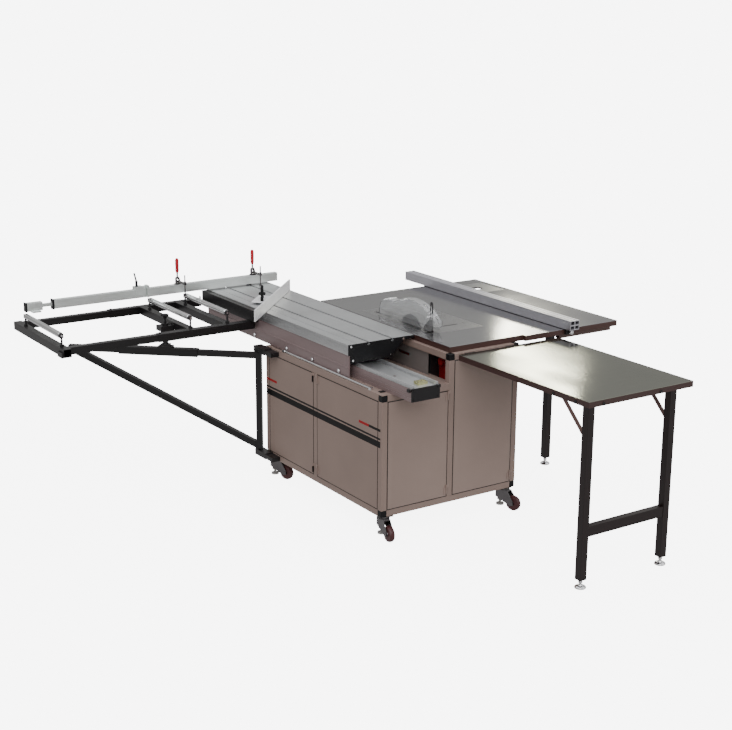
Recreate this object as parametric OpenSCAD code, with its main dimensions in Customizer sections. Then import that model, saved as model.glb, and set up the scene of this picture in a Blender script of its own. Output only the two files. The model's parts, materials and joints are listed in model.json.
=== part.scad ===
// Sliding-table panel saw with outrigger, rear support table and wheeled cabinet.
// Axes: +X across to the wide table, +Y towards the operator end, +Z up.
// Lengths in mm. Inner coordinates start at the cabinet's rear left corner.

/* [Cabinet] */
// cabinet width across
cab_w = 770; // [640:1:900]
// cabinet depth along the cut
cab_d = 1036; // [900:1:1200]
// underside of the cabinet above the floor
cab_z = 112; // [110:1:130]
// top of the low part that carries the guide beam
low_z = 685; // [620:1:720]
// where the tall part starts across
step_x = 366; // [330:1:400]
// frame tube size
f = 30; // [25:1:35]
// frame tube wall
ft = 2; // [1.5:0.1:3]

/* [Tables] */
// working height
work_z = 850; // [800:1:880]
// board and skin thickness together
tab_t = 27; // [24:1:32]
// steel skin thickness
skin_t = 1.5; // [1:0.1:2]
// left edge of the main table
main_x0 = 384; // [376:1:400]
// joint between main table and extension
main_x1 = 812; // [780:1:840]
// rear edge of the main table
main_y0 = 25; // [10:1:40]
// operator edge of the main table
main_y1 = 1138; // [1050:1:1250]
// right edge of the extension
ext_x1 = 1388; // [1200:1:1500]
// rear support table length
out_l = 870; // [700:1:1000]
// rear support table width
out_w = 590; // [480:1:700]
// drop of the rear support table below the working height
out_drop = 28; // [26:1:40]
// table leg tube size
leg_s = 35; // [30:1:40]

/* [Sliding carriage] */
// carriage width
car_w = 364; // [320:1:366]
// carriage length
car_l = 1390; // [1200:1:1500]
// rear end of the carriage at rest
car_y0 = 300; // [200:1:400]
// depth of the carriage section
car_h = 88; // [80:1:92]
// guide beam width
beam_w = 150; // [120:1:170]
// guide beam length
beam_l = 1650; // [1500:1:1800]
// how far the beam sticks out past the cabinet
beam_out = 150; // [100:1:180]

/* [Outrigger] */
// reach of the outrigger from the carriage
arm_reach = 1034; // [900:1:1150]
// outrigger depth between outer faces of its tubes
rig_d = 630; // [560:1:680]
// outrigger tube size
rig_s = 40; // [36:1:44]
// roller radius
roll_r = 14; // [12:1:16]
// roller length
roll_l = 450; // [400:1:480]
// swing arm length
swing_l = 985; // [850:1:1050]
// swing arm angle from straight out
swing_a = 41.5; // [38:0.5:45]

/* [Fences] */
// crosscut fence length
cross_l = 1280; // [1100:1:1400]
// crosscut fence height
cross_h = 45; // [40:1:50]
// rip fence length
rip_l = 1364; // [1250:1:1450]
// rip fence width
rip_w = 56; // [50:1:60]
// rip fence height
rip_h = 46; // [40:1:50]

/* [Blades] */
// main blade radius
blade_r = 95; // [85:1:100]
// scoring blade radius
score_r = 50; // [45:1:55]
// blade line across
blade_x = 488; // [484:1:500]
// main blade centre along the cut
blade_y = 470; // [450:1:490]

/* [Castors] */
// castor wheel radius
wheel_r = 37.5; // [32:0.5:40]
// castor trail
trail = 54; // [46:1:58]

/* [Hidden] */
$fn = 64;
e = 0.3;
// half of the weld gap left at each tube end
q = 0.1;
high_z = work_z - tab_t;
// guide beam
beam_x = 50;
beam_z = low_z + 3;
beam_top = 748;
beam_y1 = beam_l - beam_out;
track_w = 14;
car_bot = work_z - car_h;
track_h = car_bot - e - beam_top;
// carriage
car_x0 = 14;
car_x1 = car_x0 + car_w;
car_y1 = car_y0 + car_l;
lip_z = work_z - 13;
side_z = work_z - 50;
skirt_x = car_x0 + 3;
skirt_z = 692;
slot_a = car_x0 + 111;
slot_b = car_x0 + 242;
end_t = 6;
// rear support table
bolt_t = 3;
out_x0 = main_x0 + 19;
out_y1 = -20;
out_y0 = out_y1 - out_l;
out_z = work_z - out_drop;
out_x1 = out_x0 + out_w;
// extension
ext_y0 = 5;
ext_y1 = main_y1;
ext_leg_x = ext_x1 - 91;
ext_leg_y = 392;
// outrigger
rig_y0 = 1165;
rig_y1 = rig_y0 + rig_d;
rig_z1 = 785;
rig_z0 = rig_z1 - rig_s;
rig_x0 = car_x0 - arm_reach;
rig_in = rig_s - 5.4;
rig_joint = -520;
slide_x1 = -200;
roll_z = work_z - roll_r;
roll_y0 = 1215;
roll_x1 = -125;
roll_x2 = -330;
roll_x3 = rig_x0 + rig_s / 2;
ibar_x0 = car_x0 - 30;
// swing arm
sw_x = -28;
sw_y = cab_d + 26;
sw_s = 30;
sw_z0 = cab_z + f + 4;
sw_z1 = 650;
sw_tz = sw_z1 - sw_s;
slv_u0 = 310;
slv_u1 = 720;
pin_u = 477;
pin_x = sw_x - pin_u * cos(swing_a);
pin_y = sw_y + pin_u * sin(swing_a);
// crosscut fence
cf_x1 = 425;
cf_x0 = cf_x1 - cross_l;
cf_y0 = 1655;
cf_w = 30;
cf_z0 = work_z + 7;
cf_z1 = cf_z0 + cross_h;
cf_pin_x = slot_b;
// clamps on the crosscut fence
tog_a = -168;
tog_b = 280;
tog_z = cf_z1 + 4;
// flip stop
stop_x = -394;
// mitre gauge
mg_y = 1290;
mg_a = 46.3;
mg_l0 = 458;
mg_l1 = 274;
// rip fence
rf_x = 1043;
rf_y0 = -44;
rf_y1 = rf_y0 + rip_l;
rf_z0 = work_z + 2.6;
rf_z1 = rf_z0 + rip_h;
// blades
blade_top = work_z + 50;
blade_z = blade_top - blade_r;
score_y = 712;
score_z = work_z - 2 - score_r;
plate_x = 456;
flange_r = 16;
score_fl = 11;
mot_y = blade_y + 130;
mot_z = 690;
bolt_z = work_z + 70;
// castors
cast_in = 36;
cast_y = 30;
cast = [[cast_in, cast_y, -97], [cab_w - cast_in, cast_y, -72],
    [cast_in, cab_d - 50, -69], [cab_w - cast_in, cab_d - 50, -80]];
// overall box and origin
box_x0 = rig_x0 - 8;
org_x = (box_x0 + ext_x1) / 2;
org_y = (out_y0 - bolt_t + rig_y1) / 2;
// doors
gap = 0.8;
stile_y = 551;
door_t = 16;
kn_r = 3.5;
kn_y = kn_r + e;

module at() translate([-org_x, -org_y, 0]) children();
module bx(x0, x1, y0, y1, z0, z1) translate([x0, y0, z0]) cube([x1 - x0, y1 - y0, z1 - z0]);
module tz(x, y, z0, z1, s, t) difference() {
    bx(x, x + s, y, y + s, z0 + q, z1 - q);
    bx(x + t, x + s - t, y + t, y + s - t, z0 - 1, z1 + 1);
}
module tx(x0, x1, y, z, s, t) difference() {
    bx(x0 + q, x1 - q, y, y + s, z, z + s);
    bx(x0 - 1, x1 + 1, y + t, y + s - t, z + t, z + s - t);
}
module ty(x, y0, y1, z, s, t) difference() {
    bx(x, x + s, y0 + q, y1 - q, z, z + s);
    bx(x + t, x + s - t, y0 - 1, y1 + 1, z + t, z + s - t);
}
module cz(x, y, z0, z1, r) translate([x, y, z0]) cylinder(r = r, h = z1 - z0);
module cy(x, y0, y1, z, r) translate([x, y0, z]) rotate([-90, 0, 0]) cylinder(r = r, h = y1 - y0);
module cx(x0, x1, y, z, r) translate([x0, y, z]) rotate([0, 90, 0]) cylinder(r = r, h = x1 - x0);
// section drawn in X and Z, swept along +Y
module along_y(y0, l) translate([0, y0 + l, 0]) rotate([90, 0, 0]) linear_extrude(height = l) children();

// ---------------------------------------------------------------- cabinet
module frame_posts() at() color([0.62, 0.56, 0.53]) {
    for (y = [0, cab_d - f]) {
        tz(0, y, cab_z + f, low_z - f, f, ft);
        tz(step_x, y, cab_z + f, high_z - f, f, ft);
        tz(cab_w - f, y, cab_z + f, high_z - f, f, ft);
    }
    tz(0, stile_y, cab_z + f, low_z - f, f, ft);
}
module frame_bars() at() color([0.62, 0.56, 0.53]) {
    for (y = [0, cab_d - f]) {
        tx(f, cab_w - f, y, cab_z, f, ft);
        tx(f, step_x, y, low_z - f, f, ft);
        tx(step_x + f, cab_w - f, y, high_z - f, f, ft);
    }
    ty(0, f, cab_d - f, cab_z, f, ft);
    ty(cab_w - f, f, cab_d - f, cab_z, f, ft);
    ty(0, f, cab_d - f, low_z - f, f, ft);
    ty(step_x, f, cab_d - f, low_z - f, f, ft);
    ty(step_x, f, cab_d - f, high_z - f, f, ft);
    ty(cab_w - f, f, cab_d - f, high_z - f, f, ft);
}
module frame_corners() at() color([0.06, 0.06, 0.07]) {
    for (x = [0, cab_w - f], y = [0, cab_d - f]) bx(x, x + f, y, y + f, cab_z, cab_z + f);
    for (y = [0, cab_d - f]) {
        bx(0, f, y, y + f, low_z - f, low_z);
        bx(step_x, step_x + f, y, y + f, high_z - f, high_z);
        bx(cab_w - f, cab_w, y, y + f, high_z - f, high_z);
    }
}
module fixed_panels() at() color([0.6, 0.54, 0.51]) {
    bx(cab_w - 16, cab_w - 14, f, cab_d - f, cab_z + f, high_z - f);
    bx(f, step_x, cab_d - 16, cab_d - 14, cab_z + f, low_z - f);
    bx(step_x + f, cab_w - f, cab_d - 16, cab_d - 14, cab_z + f, high_z - f);
}
module floor_pan() at() color([0.6, 0.54, 0.51])
    bx(f, cab_w - f, f, cab_d - f, cab_z + 2, cab_z + 4);
module ledge_plate() at() color([0.55, 0.5, 0.48])
    bx(0, step_x, 0, cab_d, low_z, low_z + 3);
module side_wall() at() color([0.36, 0.33, 0.32]) difference() {
    bx(step_x + 10, step_x + 12, 177, cab_d - f, low_z, high_z - f);
    bx(step_x + 5, step_x + 20, 330, 420, 742, 754);
}
module door_box(l, h) difference() {
    cube([l, door_t, h]);
    translate([1.5, 1.5, 1.5]) cube([l - 3, door_t, h - 3]);
}
// moving knuckles; x runs along the leaf towards the hinge at x = 0
module knuckle(z0, z1) {
    translate([0, -kn_y, z0]) cylinder(r = kn_r, h = z1 - z0);
    translate([-14, -2, z0]) cube([14, 2 - q, z1 - z0]);
}
module post_knuckle(z0, z1) {
    translate([0, -kn_y, z0]) cylinder(r = kn_r, h = z1 - z0);
    translate([0, -2, z0]) cube([16, 2 - e, z1 - z0]);
    translate([5, -2, z0]) cube([11, 2, z1 - z0]);
}
// a door hung at its right edge, seen from outside; origin at its lower right outer corner
module hung_door(l, h) union() {
    translate([-l, 0, 0]) door_box(l, h);
    for (z = [14, h - 44]) translate([-4, 0, 0]) knuckle(z, z + 30);
}
module hung_pins(h) for (z = [14, h - 44]) translate([-4, 0, 0]) post_knuckle(z + 30.4, z + 44);
door_z = cab_z + f + gap;
low_h = low_z - f - gap - door_z;
tall_h = high_z - f - gap - door_z;
side_l1 = stile_y - f - 2 * gap;
side_l2 = cab_d - f - stile_y - f - 2 * gap;
module door_rear_low() at() color([0.62, 0.56, 0.53])
    translate([step_x - gap, 0, door_z]) hung_door(step_x - f - 2 * gap, low_h);
module door_rear_tall() at() color([0.62, 0.56, 0.53])
    translate([cab_w - f - gap, 0, door_z]) hung_door(cab_w - step_x - 2 * f - 2 * gap, tall_h);
module door_side_a() at() color([0.55, 0.49, 0.46])
    translate([0, stile_y - gap, door_z]) rotate([0, 0, -90])
        mirror([1, 0, 0]) hung_door(side_l1, low_h);
module door_side_b() at() color([0.55, 0.49, 0.46])
    translate([0, stile_y + f + gap, door_z]) rotate([0, 0, -90]) hung_door(side_l2, low_h);
module door_pins() at() color([0.3, 0.28, 0.27]) {
    translate([step_x - gap, 0, door_z]) hung_pins(low_h);
    translate([cab_w - f - gap, 0, door_z]) hung_pins(tall_h);
    translate([0, stile_y - gap, door_z]) rotate([0, 0, -90]) mirror([1, 0, 0]) hung_pins(low_h);
    translate([0, stile_y + f + gap, door_z]) rotate([0, 0, -90]) hung_pins(low_h);
}

// ---------------------------------------------------------------- castors
module on_castor(i) translate([cast[i][0], cast[i][1], 0]) rotate([0, 0, cast[i][2]]) children();
module castor_plates() at() color([0.75, 0.76, 0.78]) for (i = [0:3]) on_castor(i) union() {
    translate([-33, -33, cab_z - 3]) cube([66, 66, 3]);
    translate([0, 0, cab_z - 13]) cylinder(r = 22, h = 10.5);
}
module fork() difference() {
    union() {
        translate([0, 0, cab_z - 18]) cylinder(r = 27, h = 4.7);
        translate([-36, -18.5, cab_z - 22]) cube([64, 37, 4.5]);
        for (v = [-18.5, 16]) translate([0, v + 2.5, 0]) rotate([90, 0, 0]) linear_extrude(height = 2.5)
            polygon([[-38, cab_z - 18], [28, cab_z - 18], [trail + 6, 52], [trail + 10, 30],
                [trail - 10, 24], [-8, 46], [-38, 58]]);
        translate([-38, -18.5, 58]) cube([32, 37, 5]);
        translate([trail, 18.5, wheel_r]) rotate([90, 0, 0]) cylinder(r = 6, h = 37);
        translate([trail, 20.5, wheel_r]) rotate([90, 0, 0]) cylinder(r = 9, h = 2);
        translate([trail, -18.5, wheel_r]) rotate([90, 0, 0]) cylinder(r = 9, h = 2);
    }
    translate([-22, 0, 50]) cylinder(r = 7.05, h = 20);
}
module wheel() difference() {
    union() {
        translate([trail, 12, wheel_r]) rotate([90, 0, 0]) cylinder(r = wheel_r, h = 24);
        translate([trail, 15, wheel_r]) rotate([90, 0, 0]) cylinder(r = 11, h = 30);
    }
    for (v = [13, -9]) translate([trail, v, wheel_r]) rotate([90, 0, 0]) difference() {
        cylinder(r = 26, h = 4);
        translate([0, 0, -1]) cylinder(r = 11, h = 6);
    }
    translate([trail, 20, wheel_r]) rotate([90, 0, 0]) cylinder(r = 6.05, h = 40);
}
module pad() translate([-22, 0, 0]) union() {
    translate([0, 0, 14]) cylinder(r = 19, h = 8);
    translate([0, 0, 22]) cylinder(r = 7, h = cab_z - 23 - 22);
    translate([0, 0, 40]) cylinder(r = 14, h = 8);
}
module fork_set() {
    fork();
    pad();
}
module fork_1() at() color([0.7, 0.71, 0.73]) on_castor(0) fork_set();
module fork_2() at() color([0.7, 0.71, 0.73]) on_castor(1) fork_set();
module fork_3() at() color([0.7, 0.71, 0.73]) on_castor(2) fork_set();
module fork_4() at() color([0.7, 0.71, 0.73]) on_castor(3) fork_set();
module wheel_1() at() color([0.35, 0.12, 0.12]) on_castor(0) wheel();
module wheel_2() at() color([0.35, 0.12, 0.12]) on_castor(1) wheel();
module wheel_3() at() color([0.35, 0.12, 0.12]) on_castor(2) wheel();
module wheel_4() at() color([0.35, 0.12, 0.12]) on_castor(3) wheel();

// ---------------------------------------------------------------- tables
ins_x0 = 440;
ins_x1 = 760;
ins_y0 = 258;
ins_y1 = 836;
rout_x0 = 1150;
rout_y0 = 845;
rout_s = 205;
module insert_hole(z0, z1, c) bx(ins_x0 - c, ins_x1 + c, ins_y0 - c, ins_y1 + c, z0, z1);
module rout_hole(z0, z1, c) bx(rout_x0 - c, rout_x0 + rout_s + c, rout_y0 - c, rout_y0 + rout_s + c, z0, z1);
module main_board() at() color([0.3, 0.16, 0.13]) difference() {
    bx(main_x0, main_x1, main_y0, main_y1, high_z, work_z - skin_t);
    insert_hole(work_z - 6 - e, work_z, e);
    bx(ins_x0 + 12, ins_x1 - 12, ins_y0 + 12, ins_y1 - 12, high_z - 1, work_z);
}
module main_skin() at() color([0.66, 0.66, 0.68]) difference() {
    bx(main_x0, main_x1, main_y0, main_y1, work_z - skin_t, work_z);
    insert_hole(work_z - 5, work_z + 1, e);
}
module insert_plate() at() color([0.6, 0.6, 0.62]) difference() {
    insert_hole(work_z - 6, work_z, 0);
    bx(blade_x - 6, blade_x + 6, 286, 590, work_z - 10, work_z + 1);
    bx(blade_x - 5, blade_x + 5, 640, 784, work_z - 10, work_z + 1);
    bx(590, 677, 355, 363, work_z - 10, work_z + 1);
    for (p = [[517, 273], [604, 273], [460, 273], [512, 800], [740, 273], [740, 820]])
        cz(p[0], p[1], work_z - 1.2, work_z + 1, 5);
}
module extension_board() at() color([0.3, 0.16, 0.13]) difference() {
    bx(main_x1, ext_x1, ext_y0, ext_y1, high_z, work_z - skin_t);
    rout_hole(work_z - 8 - e, work_z, e);
    bx(rout_x0 + 12, rout_x0 + rout_s - 12, rout_y0 + 12, rout_y0 + rout_s - 12, high_z - 1, work_z);
}
module extension_skin() at() color([0.66, 0.66, 0.68]) difference() {
    bx(main_x1, ext_x1, ext_y0, ext_y1, work_z - skin_t, work_z);
    rout_hole(work_z - 5, work_z + 1, e);
}
module router_plate() at() color([0.55, 0.55, 0.56]) difference() {
    rout_hole(work_z - 8, work_z, 0);
    cz(rout_x0 + rout_s / 2, rout_y0 + rout_s / 2, work_z - 10, work_z + 1, 28);
    for (x = [12, rout_s - 12], y = [12, rout_s - 12])
        cz(rout_x0 + x, rout_y0 + y, work_z - 1.2, work_z + 1, 5);
}
module extension_rail() at() color([0.34, 0.2, 0.17])
    tx(1050, ext_x1 - 8, 40, high_z - 28, 28, 2);
module extension_leg() at() color([0.05, 0.05, 0.06])
    tz(ext_leg_x, ext_leg_y, 42, high_z, leg_s, 2);
module out_board() at() color([0.3, 0.16, 0.13])
    bx(out_x0, out_x1, out_y0, out_y1, out_z - tab_t, out_z - skin_t);
module out_skin() at() color([0.5, 0.5, 0.46])
    bx(out_x0, out_x1, out_y0, out_y1, out_z - skin_t, out_z);
module out_hooks() at() color([0.05, 0.05, 0.06]) for (x = [out_x0 + 45, cab_w - 80])
    bx(x, x + 60, out_y1, 0, out_z - tab_t + 2, out_z - 4);
leg_x0 = out_x0 + 2;
leg_x1 = leg_x0 + 461;
leg_y = out_y0 + 3;
leg_top = out_z - tab_t;
module out_legs() at() color([0.05, 0.05, 0.06])
    for (x = [leg_x0, leg_x1]) tz(x, leg_y, 42, leg_top, leg_s, 2);
module out_crossbar() at() color([0.05, 0.05, 0.06])
    bx(leg_x0 + leg_s + q, leg_x1 - q, leg_y + 2, leg_y + leg_s - 2, 230, 276);
// flat stay from the leg up to the table edge
module stay() translate([0, leg_y + leg_s + q, 0]) rotate([90, 0, 90]) linear_extrude(height = 4)
    polygon([[0, leg_top - 128], [0, leg_top - 98], [104, leg_top], [134, leg_top]]);
module out_stays() at() color([0.36, 0.2, 0.17]) {
    translate([leg_x0 + 4, 0, 0]) stay();
    translate([leg_x1 + 4, 0, 0]) stay();
}
module out_bolts() at() color([0.75, 0.75, 0.76]) {
    for (y = [out_y0 + 80, out_y0 + 218]) cx(out_x0 - bolt_t, out_x0, y, out_z - 17, 7);
    for (x = [out_x0 + 80, out_x0 + 400]) cy(x, out_y0 - bolt_t, out_y0, out_z - 17, 7);
}
module foot_at(x, y) difference() {
    union() {
        translate([x + leg_s / 2, y + leg_s / 2, 0]) cylinder(r = 25, h = 6);
        translate([x + leg_s / 2, y + leg_s / 2, 6]) cylinder(r = 19, h = 5);
        translate([x + leg_s / 2, y + leg_s / 2, 11]) cylinder(r = 11, h = 6);
        translate([x + leg_s / 2, y + leg_s / 2, 17]) cylinder(r = 5, h = 50);
        translate([x + leg_s / 2, y + leg_s / 2, 24]) cylinder(r = 9.5, h = 7, $fn = 6);
    }
}
module plug_at(x, y) difference() {
    union() {
        bx(x + 2, x + leg_s - 2, y + 2, y + leg_s - 2, 42, 54);
        bx(x, x + leg_s, y, y + leg_s, 39, 42);
    }
    cz(x + leg_s / 2, y + leg_s / 2, 30, 60, 5.05);
}
module foot_1() at() color([0.78, 0.78, 0.8]) foot_at(leg_x0, leg_y);
module foot_2() at() color([0.78, 0.78, 0.8]) foot_at(leg_x1, leg_y);
module foot_3() at() color([0.78, 0.78, 0.8]) foot_at(ext_leg_x, ext_leg_y);
module leg_plugs() at() color([0.08, 0.08, 0.09]) {
    plug_at(leg_x0, leg_y);
    plug_at(leg_x1, leg_y);
    plug_at(ext_leg_x, ext_leg_y);
}

// ---------------------------------------------------------------- guide beam
module guide_beam_body() at() color([0.6, 0.55, 0.53]) difference() {
    along_y(-beam_out, beam_l) difference() {
        translate([beam_x, beam_z]) square([beam_w, beam_top - beam_z]);
        translate([beam_x + 4, beam_z + 4]) square([beam_w / 2 - 6, beam_top - beam_z - 8]);
        translate([beam_x + beam_w / 2 + 2, beam_z + 4]) square([beam_w / 2 - 6, beam_top - beam_z - 8]);
        for (z = [beam_z + 16, beam_z + 34]) {
            translate([beam_x - 1, z]) square([2, 3]);
            translate([beam_x + beam_w - 1, z]) square([2, 3]);
        }
    }
    for (y = [60, 560, 1060]) cz(beam_x + 58, y, beam_top - 6, beam_top + 1, 8);
}
module beam_tracks() at() color([0.74, 0.75, 0.76])
    for (x = [beam_x + 5, beam_x + beam_w - 5 - track_w]) along_y(-beam_out, beam_l)
        translate([x, beam_top]) union() {
            square([track_w, track_h - 5]);
            translate([2, 0]) square([track_w - 4, track_h]);
        }
module beam_caps() at() color([0.05, 0.05, 0.06]) for (y = [-beam_out - 6, beam_y1])
    bx(beam_x, beam_x + beam_w, y, y + 6, beam_z, beam_top);
module beam_screws() at() color([0.7, 0.7, 0.72])
    for (x = [beam_x + 10, beam_x + beam_w - 10], z = [beam_z + 9, beam_top - 9])
        cy(x, -beam_out - 8.5, -beam_out - 6, z, 4);
module end_stop() at() color([0.72, 0.72, 0.5]) difference() {
    bx(beam_x + 62, beam_x + 112, -beam_out + 34, -beam_out + 70, beam_top, beam_top + 12);
    for (x = [78, 97]) cz(beam_x + x, -beam_out + 52, beam_top + 6, beam_top + 14, 6.05);
}
module stop_bolts() at() color([0.1, 0.1, 0.11])
    for (x = [78, 97]) cz(beam_x + x, -beam_out + 52, beam_top + 6, beam_top + 13.4, 6);
module bumpers() at() color([0.06, 0.06, 0.07]) for (x = [beam_x - 10, beam_x + beam_w])
    bx(x, x + 10, -beam_out + 2, -beam_out + 20, beam_top - 16, beam_top - 2);
module lock_rod() at() color([0.82, 0.82, 0.84]) cy(8, 112, 858, low_z + 9, 5);
module rod_blocks() at() color([0.05, 0.05, 0.06]) {
    for (y = [94, 858]) bx(1, 16, y, y + 18, low_z + 3, low_z + 16);
    bx(20, 46, 40, 62, low_z + 3, low_z + 6);
}

// ---------------------------------------------------------------- carriage
module deck_outline() polygon([[car_x0, work_z], [car_x1, work_z], [car_x1, lip_z], [car_x1 - 56, lip_z],
    [car_x1 - 136, car_bot], [car_x0 + 11, car_bot], [car_x0 + 11, side_z], [car_x0, side_z]]);
module tee(x) {
    translate([x - 5, work_z - 5]) square([10, 6]);
    translate([x - 9, lip_z]) square([18, 8.5]);
}
// parting line at the floor of the slots
module slot_floor() translate([car_x0 - 1, lip_z - q]) square([car_w + 2, 2 * q]);
module carriage_deck() at() color([0.72, 0.73, 0.74]) along_y(car_y0, car_l) difference() {
    deck_outline();
    tee(slot_a);
    tee(slot_b);
    slot_floor();
    translate([car_x0 + 48, work_z - 2]) square([3, 3]);
    translate([car_x0 + 17, car_bot + 5]) square([80, 55]);
    translate([car_x0 + 102, car_bot + 5]) square([70, 55]);
    translate([car_x0 + 177, car_bot + 5]) square([50, 55]);
    for (z = [work_z - 14, work_z - 24, work_z - 34]) translate([car_x0 - 1, z]) square([3, 3]);
}
module end_plates() at() color([0.05, 0.05, 0.06]) for (y = [car_y0 - end_t, car_y1])
    along_y(y, end_t) difference() {
        deck_outline();
        tee(slot_a);
        tee(slot_b);
        slot_floor();
    }
module end_screws() at() color([0.75, 0.75, 0.77])
    for (p = [[car_x0 + 12, work_z - 9], [car_x1 - 62, work_z - 9], [car_x1 - 132, car_bot + 12],
        [car_x0 + 22, car_bot + 12]]) cy(p[0], car_y0 - end_t - 2.5, car_y0 - end_t, p[1], 4);
module skirt_sheet() at() color([0.6, 0.52, 0.51]) union() {
    bx(skirt_x, skirt_x + 8, car_y0, car_y1, skirt_z, side_z);
    bx(skirt_x - 2, skirt_x, car_y0, car_y1, 738, 744);
}
bolt_y = [80, 315, 555, 875, 1180];
module skirt_bolts() at() color([0.75, 0.7, 0.7])
    for (y = bolt_y) translate([skirt_x - 5, car_y0 + y, 711]) rotate([0, 90, 0])
        cylinder(r = 8, h = 5, $fn = 6);
module skirt_keeper() at() color([0.45, 0.45, 0.46])
    bx(skirt_x + 8, skirt_x + 22, car_y0 + 30, car_y1 - 30, 700, 722);

// ---------------------------------------------------------------- outrigger
module rig_inner_bar() at() color([0.07, 0.06, 0.07])
    bx(ibar_x0, car_x0, rig_y0 - 30, rig_y0 + rig_d - 100, rig_z1 + q, work_z - 4);
module rig_tubes() at() color([0.05, 0.05, 0.06]) for (y = [rig_y0, rig_y1 - rig_s])
    tx(rig_joint, car_x0 - 4, y, rig_z0, rig_s, 2.4);
module rig_cross() at() color([0.05, 0.05, 0.06]) for (x = [roll_x1, roll_x2])
    ty(x - rig_s / 2, rig_y0 + rig_s, rig_y1 - rig_s, rig_z0, rig_s, 2.4);
module rig_screws() at() color([0.4, 0.4, 0.42])
    for (y = [rig_y0 + rig_s / 2, rig_y1 - rig_s / 2]) cz(rig_joint + 14, y, rig_z1, rig_z1 + 6, 6);
module slide_tubes() at() color([0.05, 0.05, 0.06]) for (y = [rig_y0 + 2.7, rig_y1 - rig_s + 2.7])
    tx(rig_x0 + rig_s, slide_x1, y, rig_z0 + 2.7, rig_in, 2.4);
module slide_cross() at() color([0.05, 0.05, 0.06])
    ty(rig_x0, rig_y0 - 30, rig_y1, rig_z0, rig_s, 2.4);
module slide_corner() at() color([0.05, 0.05, 0.06])
    bx(rig_x0 - 8, rig_x0 - q, rig_y0 - 26, rig_y0 + 30, rig_z0 - 2, rig_z0 + 24);
module stand(x, y) difference() {
    union() {
        cz(x, y, rig_z1, roll_z - 6, 5);
        cz(x, y, rig_z1, rig_z1 + 9, 9);
        bx(x - 9, x + 9, y - 4, y + 4, roll_z - 11, roll_z + 9);
    }
    cy(x, y - 10, y + 10, roll_z, 5.05);
}
module stands(x) for (y = [roll_y0 - 10, roll_y0 + roll_l + 10]) stand(x, y);
module roller(x) union() {
    cy(x, roll_y0, roll_y0 + roll_l, roll_z, roll_r);
    cy(x, roll_y0 - 14, roll_y0 + roll_l + 14, roll_z, 5);
}
module stands_1() at() color([0.25, 0.25, 0.26]) stands(roll_x1);
module stands_2() at() color([0.25, 0.25, 0.26]) stands(roll_x2);
module stands_3() at() color([0.25, 0.25, 0.26]) stands(roll_x3);
module roller_1() at() color([0.8, 0.79, 0.78]) roller(roll_x1);
module roller_2() at() color([0.8, 0.79, 0.78]) roller(roll_x2);
module roller_3() at() color([0.8, 0.79, 0.78]) roller(roll_x3);
module pin_clamp() at() color([0.05, 0.05, 0.06]) union() {
    bx(roll_x2 - rig_s / 2 - 72, roll_x2 - rig_s / 2, pin_y - 30, pin_y + 30, rig_z0, rig_z0 + 26);
    cz(pin_x, pin_y, rig_z0 + 20, rig_z0 + 36, 16);
    cz(pin_x, pin_y, rig_z0 + 30, rig_z0 + 48, 7);
}

// ---------------------------------------------------------------- swing arm
module on_arm() translate([sw_x, sw_y, 0]) rotate([0, 0, 180 - swing_a]) children();
module swing_blocks() at() color([0.05, 0.05, 0.06]) for (z = [cab_z, low_z - f]) difference() {
    union() {
        bx(-46, 0, cab_d - 60, cab_d + 46, z, z + f);
        bx(-46, 0, cab_d - 130, cab_d - 60, z + 4, z + f - 4);
    }
    cz(sw_x, sw_y, z - 1, z + f + 1, 8.05);
}
module swing_post() at() color([0.05, 0.05, 0.06]) on_arm() union() {
    translate([-sw_s / 2, -sw_s / 2, sw_z0]) cube([sw_s, sw_s, sw_z1 - sw_z0]);
    translate([0, 0, cab_z + 2]) cylinder(r = 8, h = 40);
    translate([0, 0, sw_z1 - 2]) cylinder(r = 8, h = low_z - 2 - sw_z1);
}
module swing_tube() at() color([0.05, 0.05, 0.06]) on_arm() difference() {
    translate([sw_s / 2 + q, -sw_s / 2, sw_tz]) cube([swing_l - sw_s / 2, sw_s, sw_s]);
    translate([sw_s / 2 - 1, -sw_s / 2 + 2, sw_tz + 2]) cube([swing_l, sw_s - 4, sw_s - 4]);
}
module swing_brace() at() color([0.05, 0.05, 0.06]) on_arm()
    translate([0, sw_s / 2, 0]) rotate([90, 0, 0]) linear_extrude(height = sw_s)
        polygon([[sw_s / 2 + q, sw_z0 + 2], [sw_s / 2 + q, sw_z0 + 38], [swing_l - 80, sw_tz - q], [swing_l, sw_tz - q]]);
module sleeve() at() color([0.07, 0.07, 0.08]) on_arm() difference() {
    union() {
        translate([slv_u0, -20, sw_tz - 5]) cube([slv_u1 - slv_u0, 40, 40]);
        translate([pin_u - 38, -20, sw_z1 + 5]) cube([76, 40, 10]);
        translate([pin_u - 24, -16, sw_z1 + 15]) cube([48, 32, 10]);
        translate([pin_u, 0, sw_z1 + 25]) cylinder(r = 14, h = 12);
        translate([pin_u, 0, sw_z1 + 25]) cylinder(r = 8, h = rig_z0 - e - sw_z1 - 25);
    }
    translate([slv_u0 - 1, -sw_s / 2 - e, sw_tz - e]) cube([slv_u1 - slv_u0 + 2, sw_s + 2 * e, sw_s + 2 * e]);
}

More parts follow.
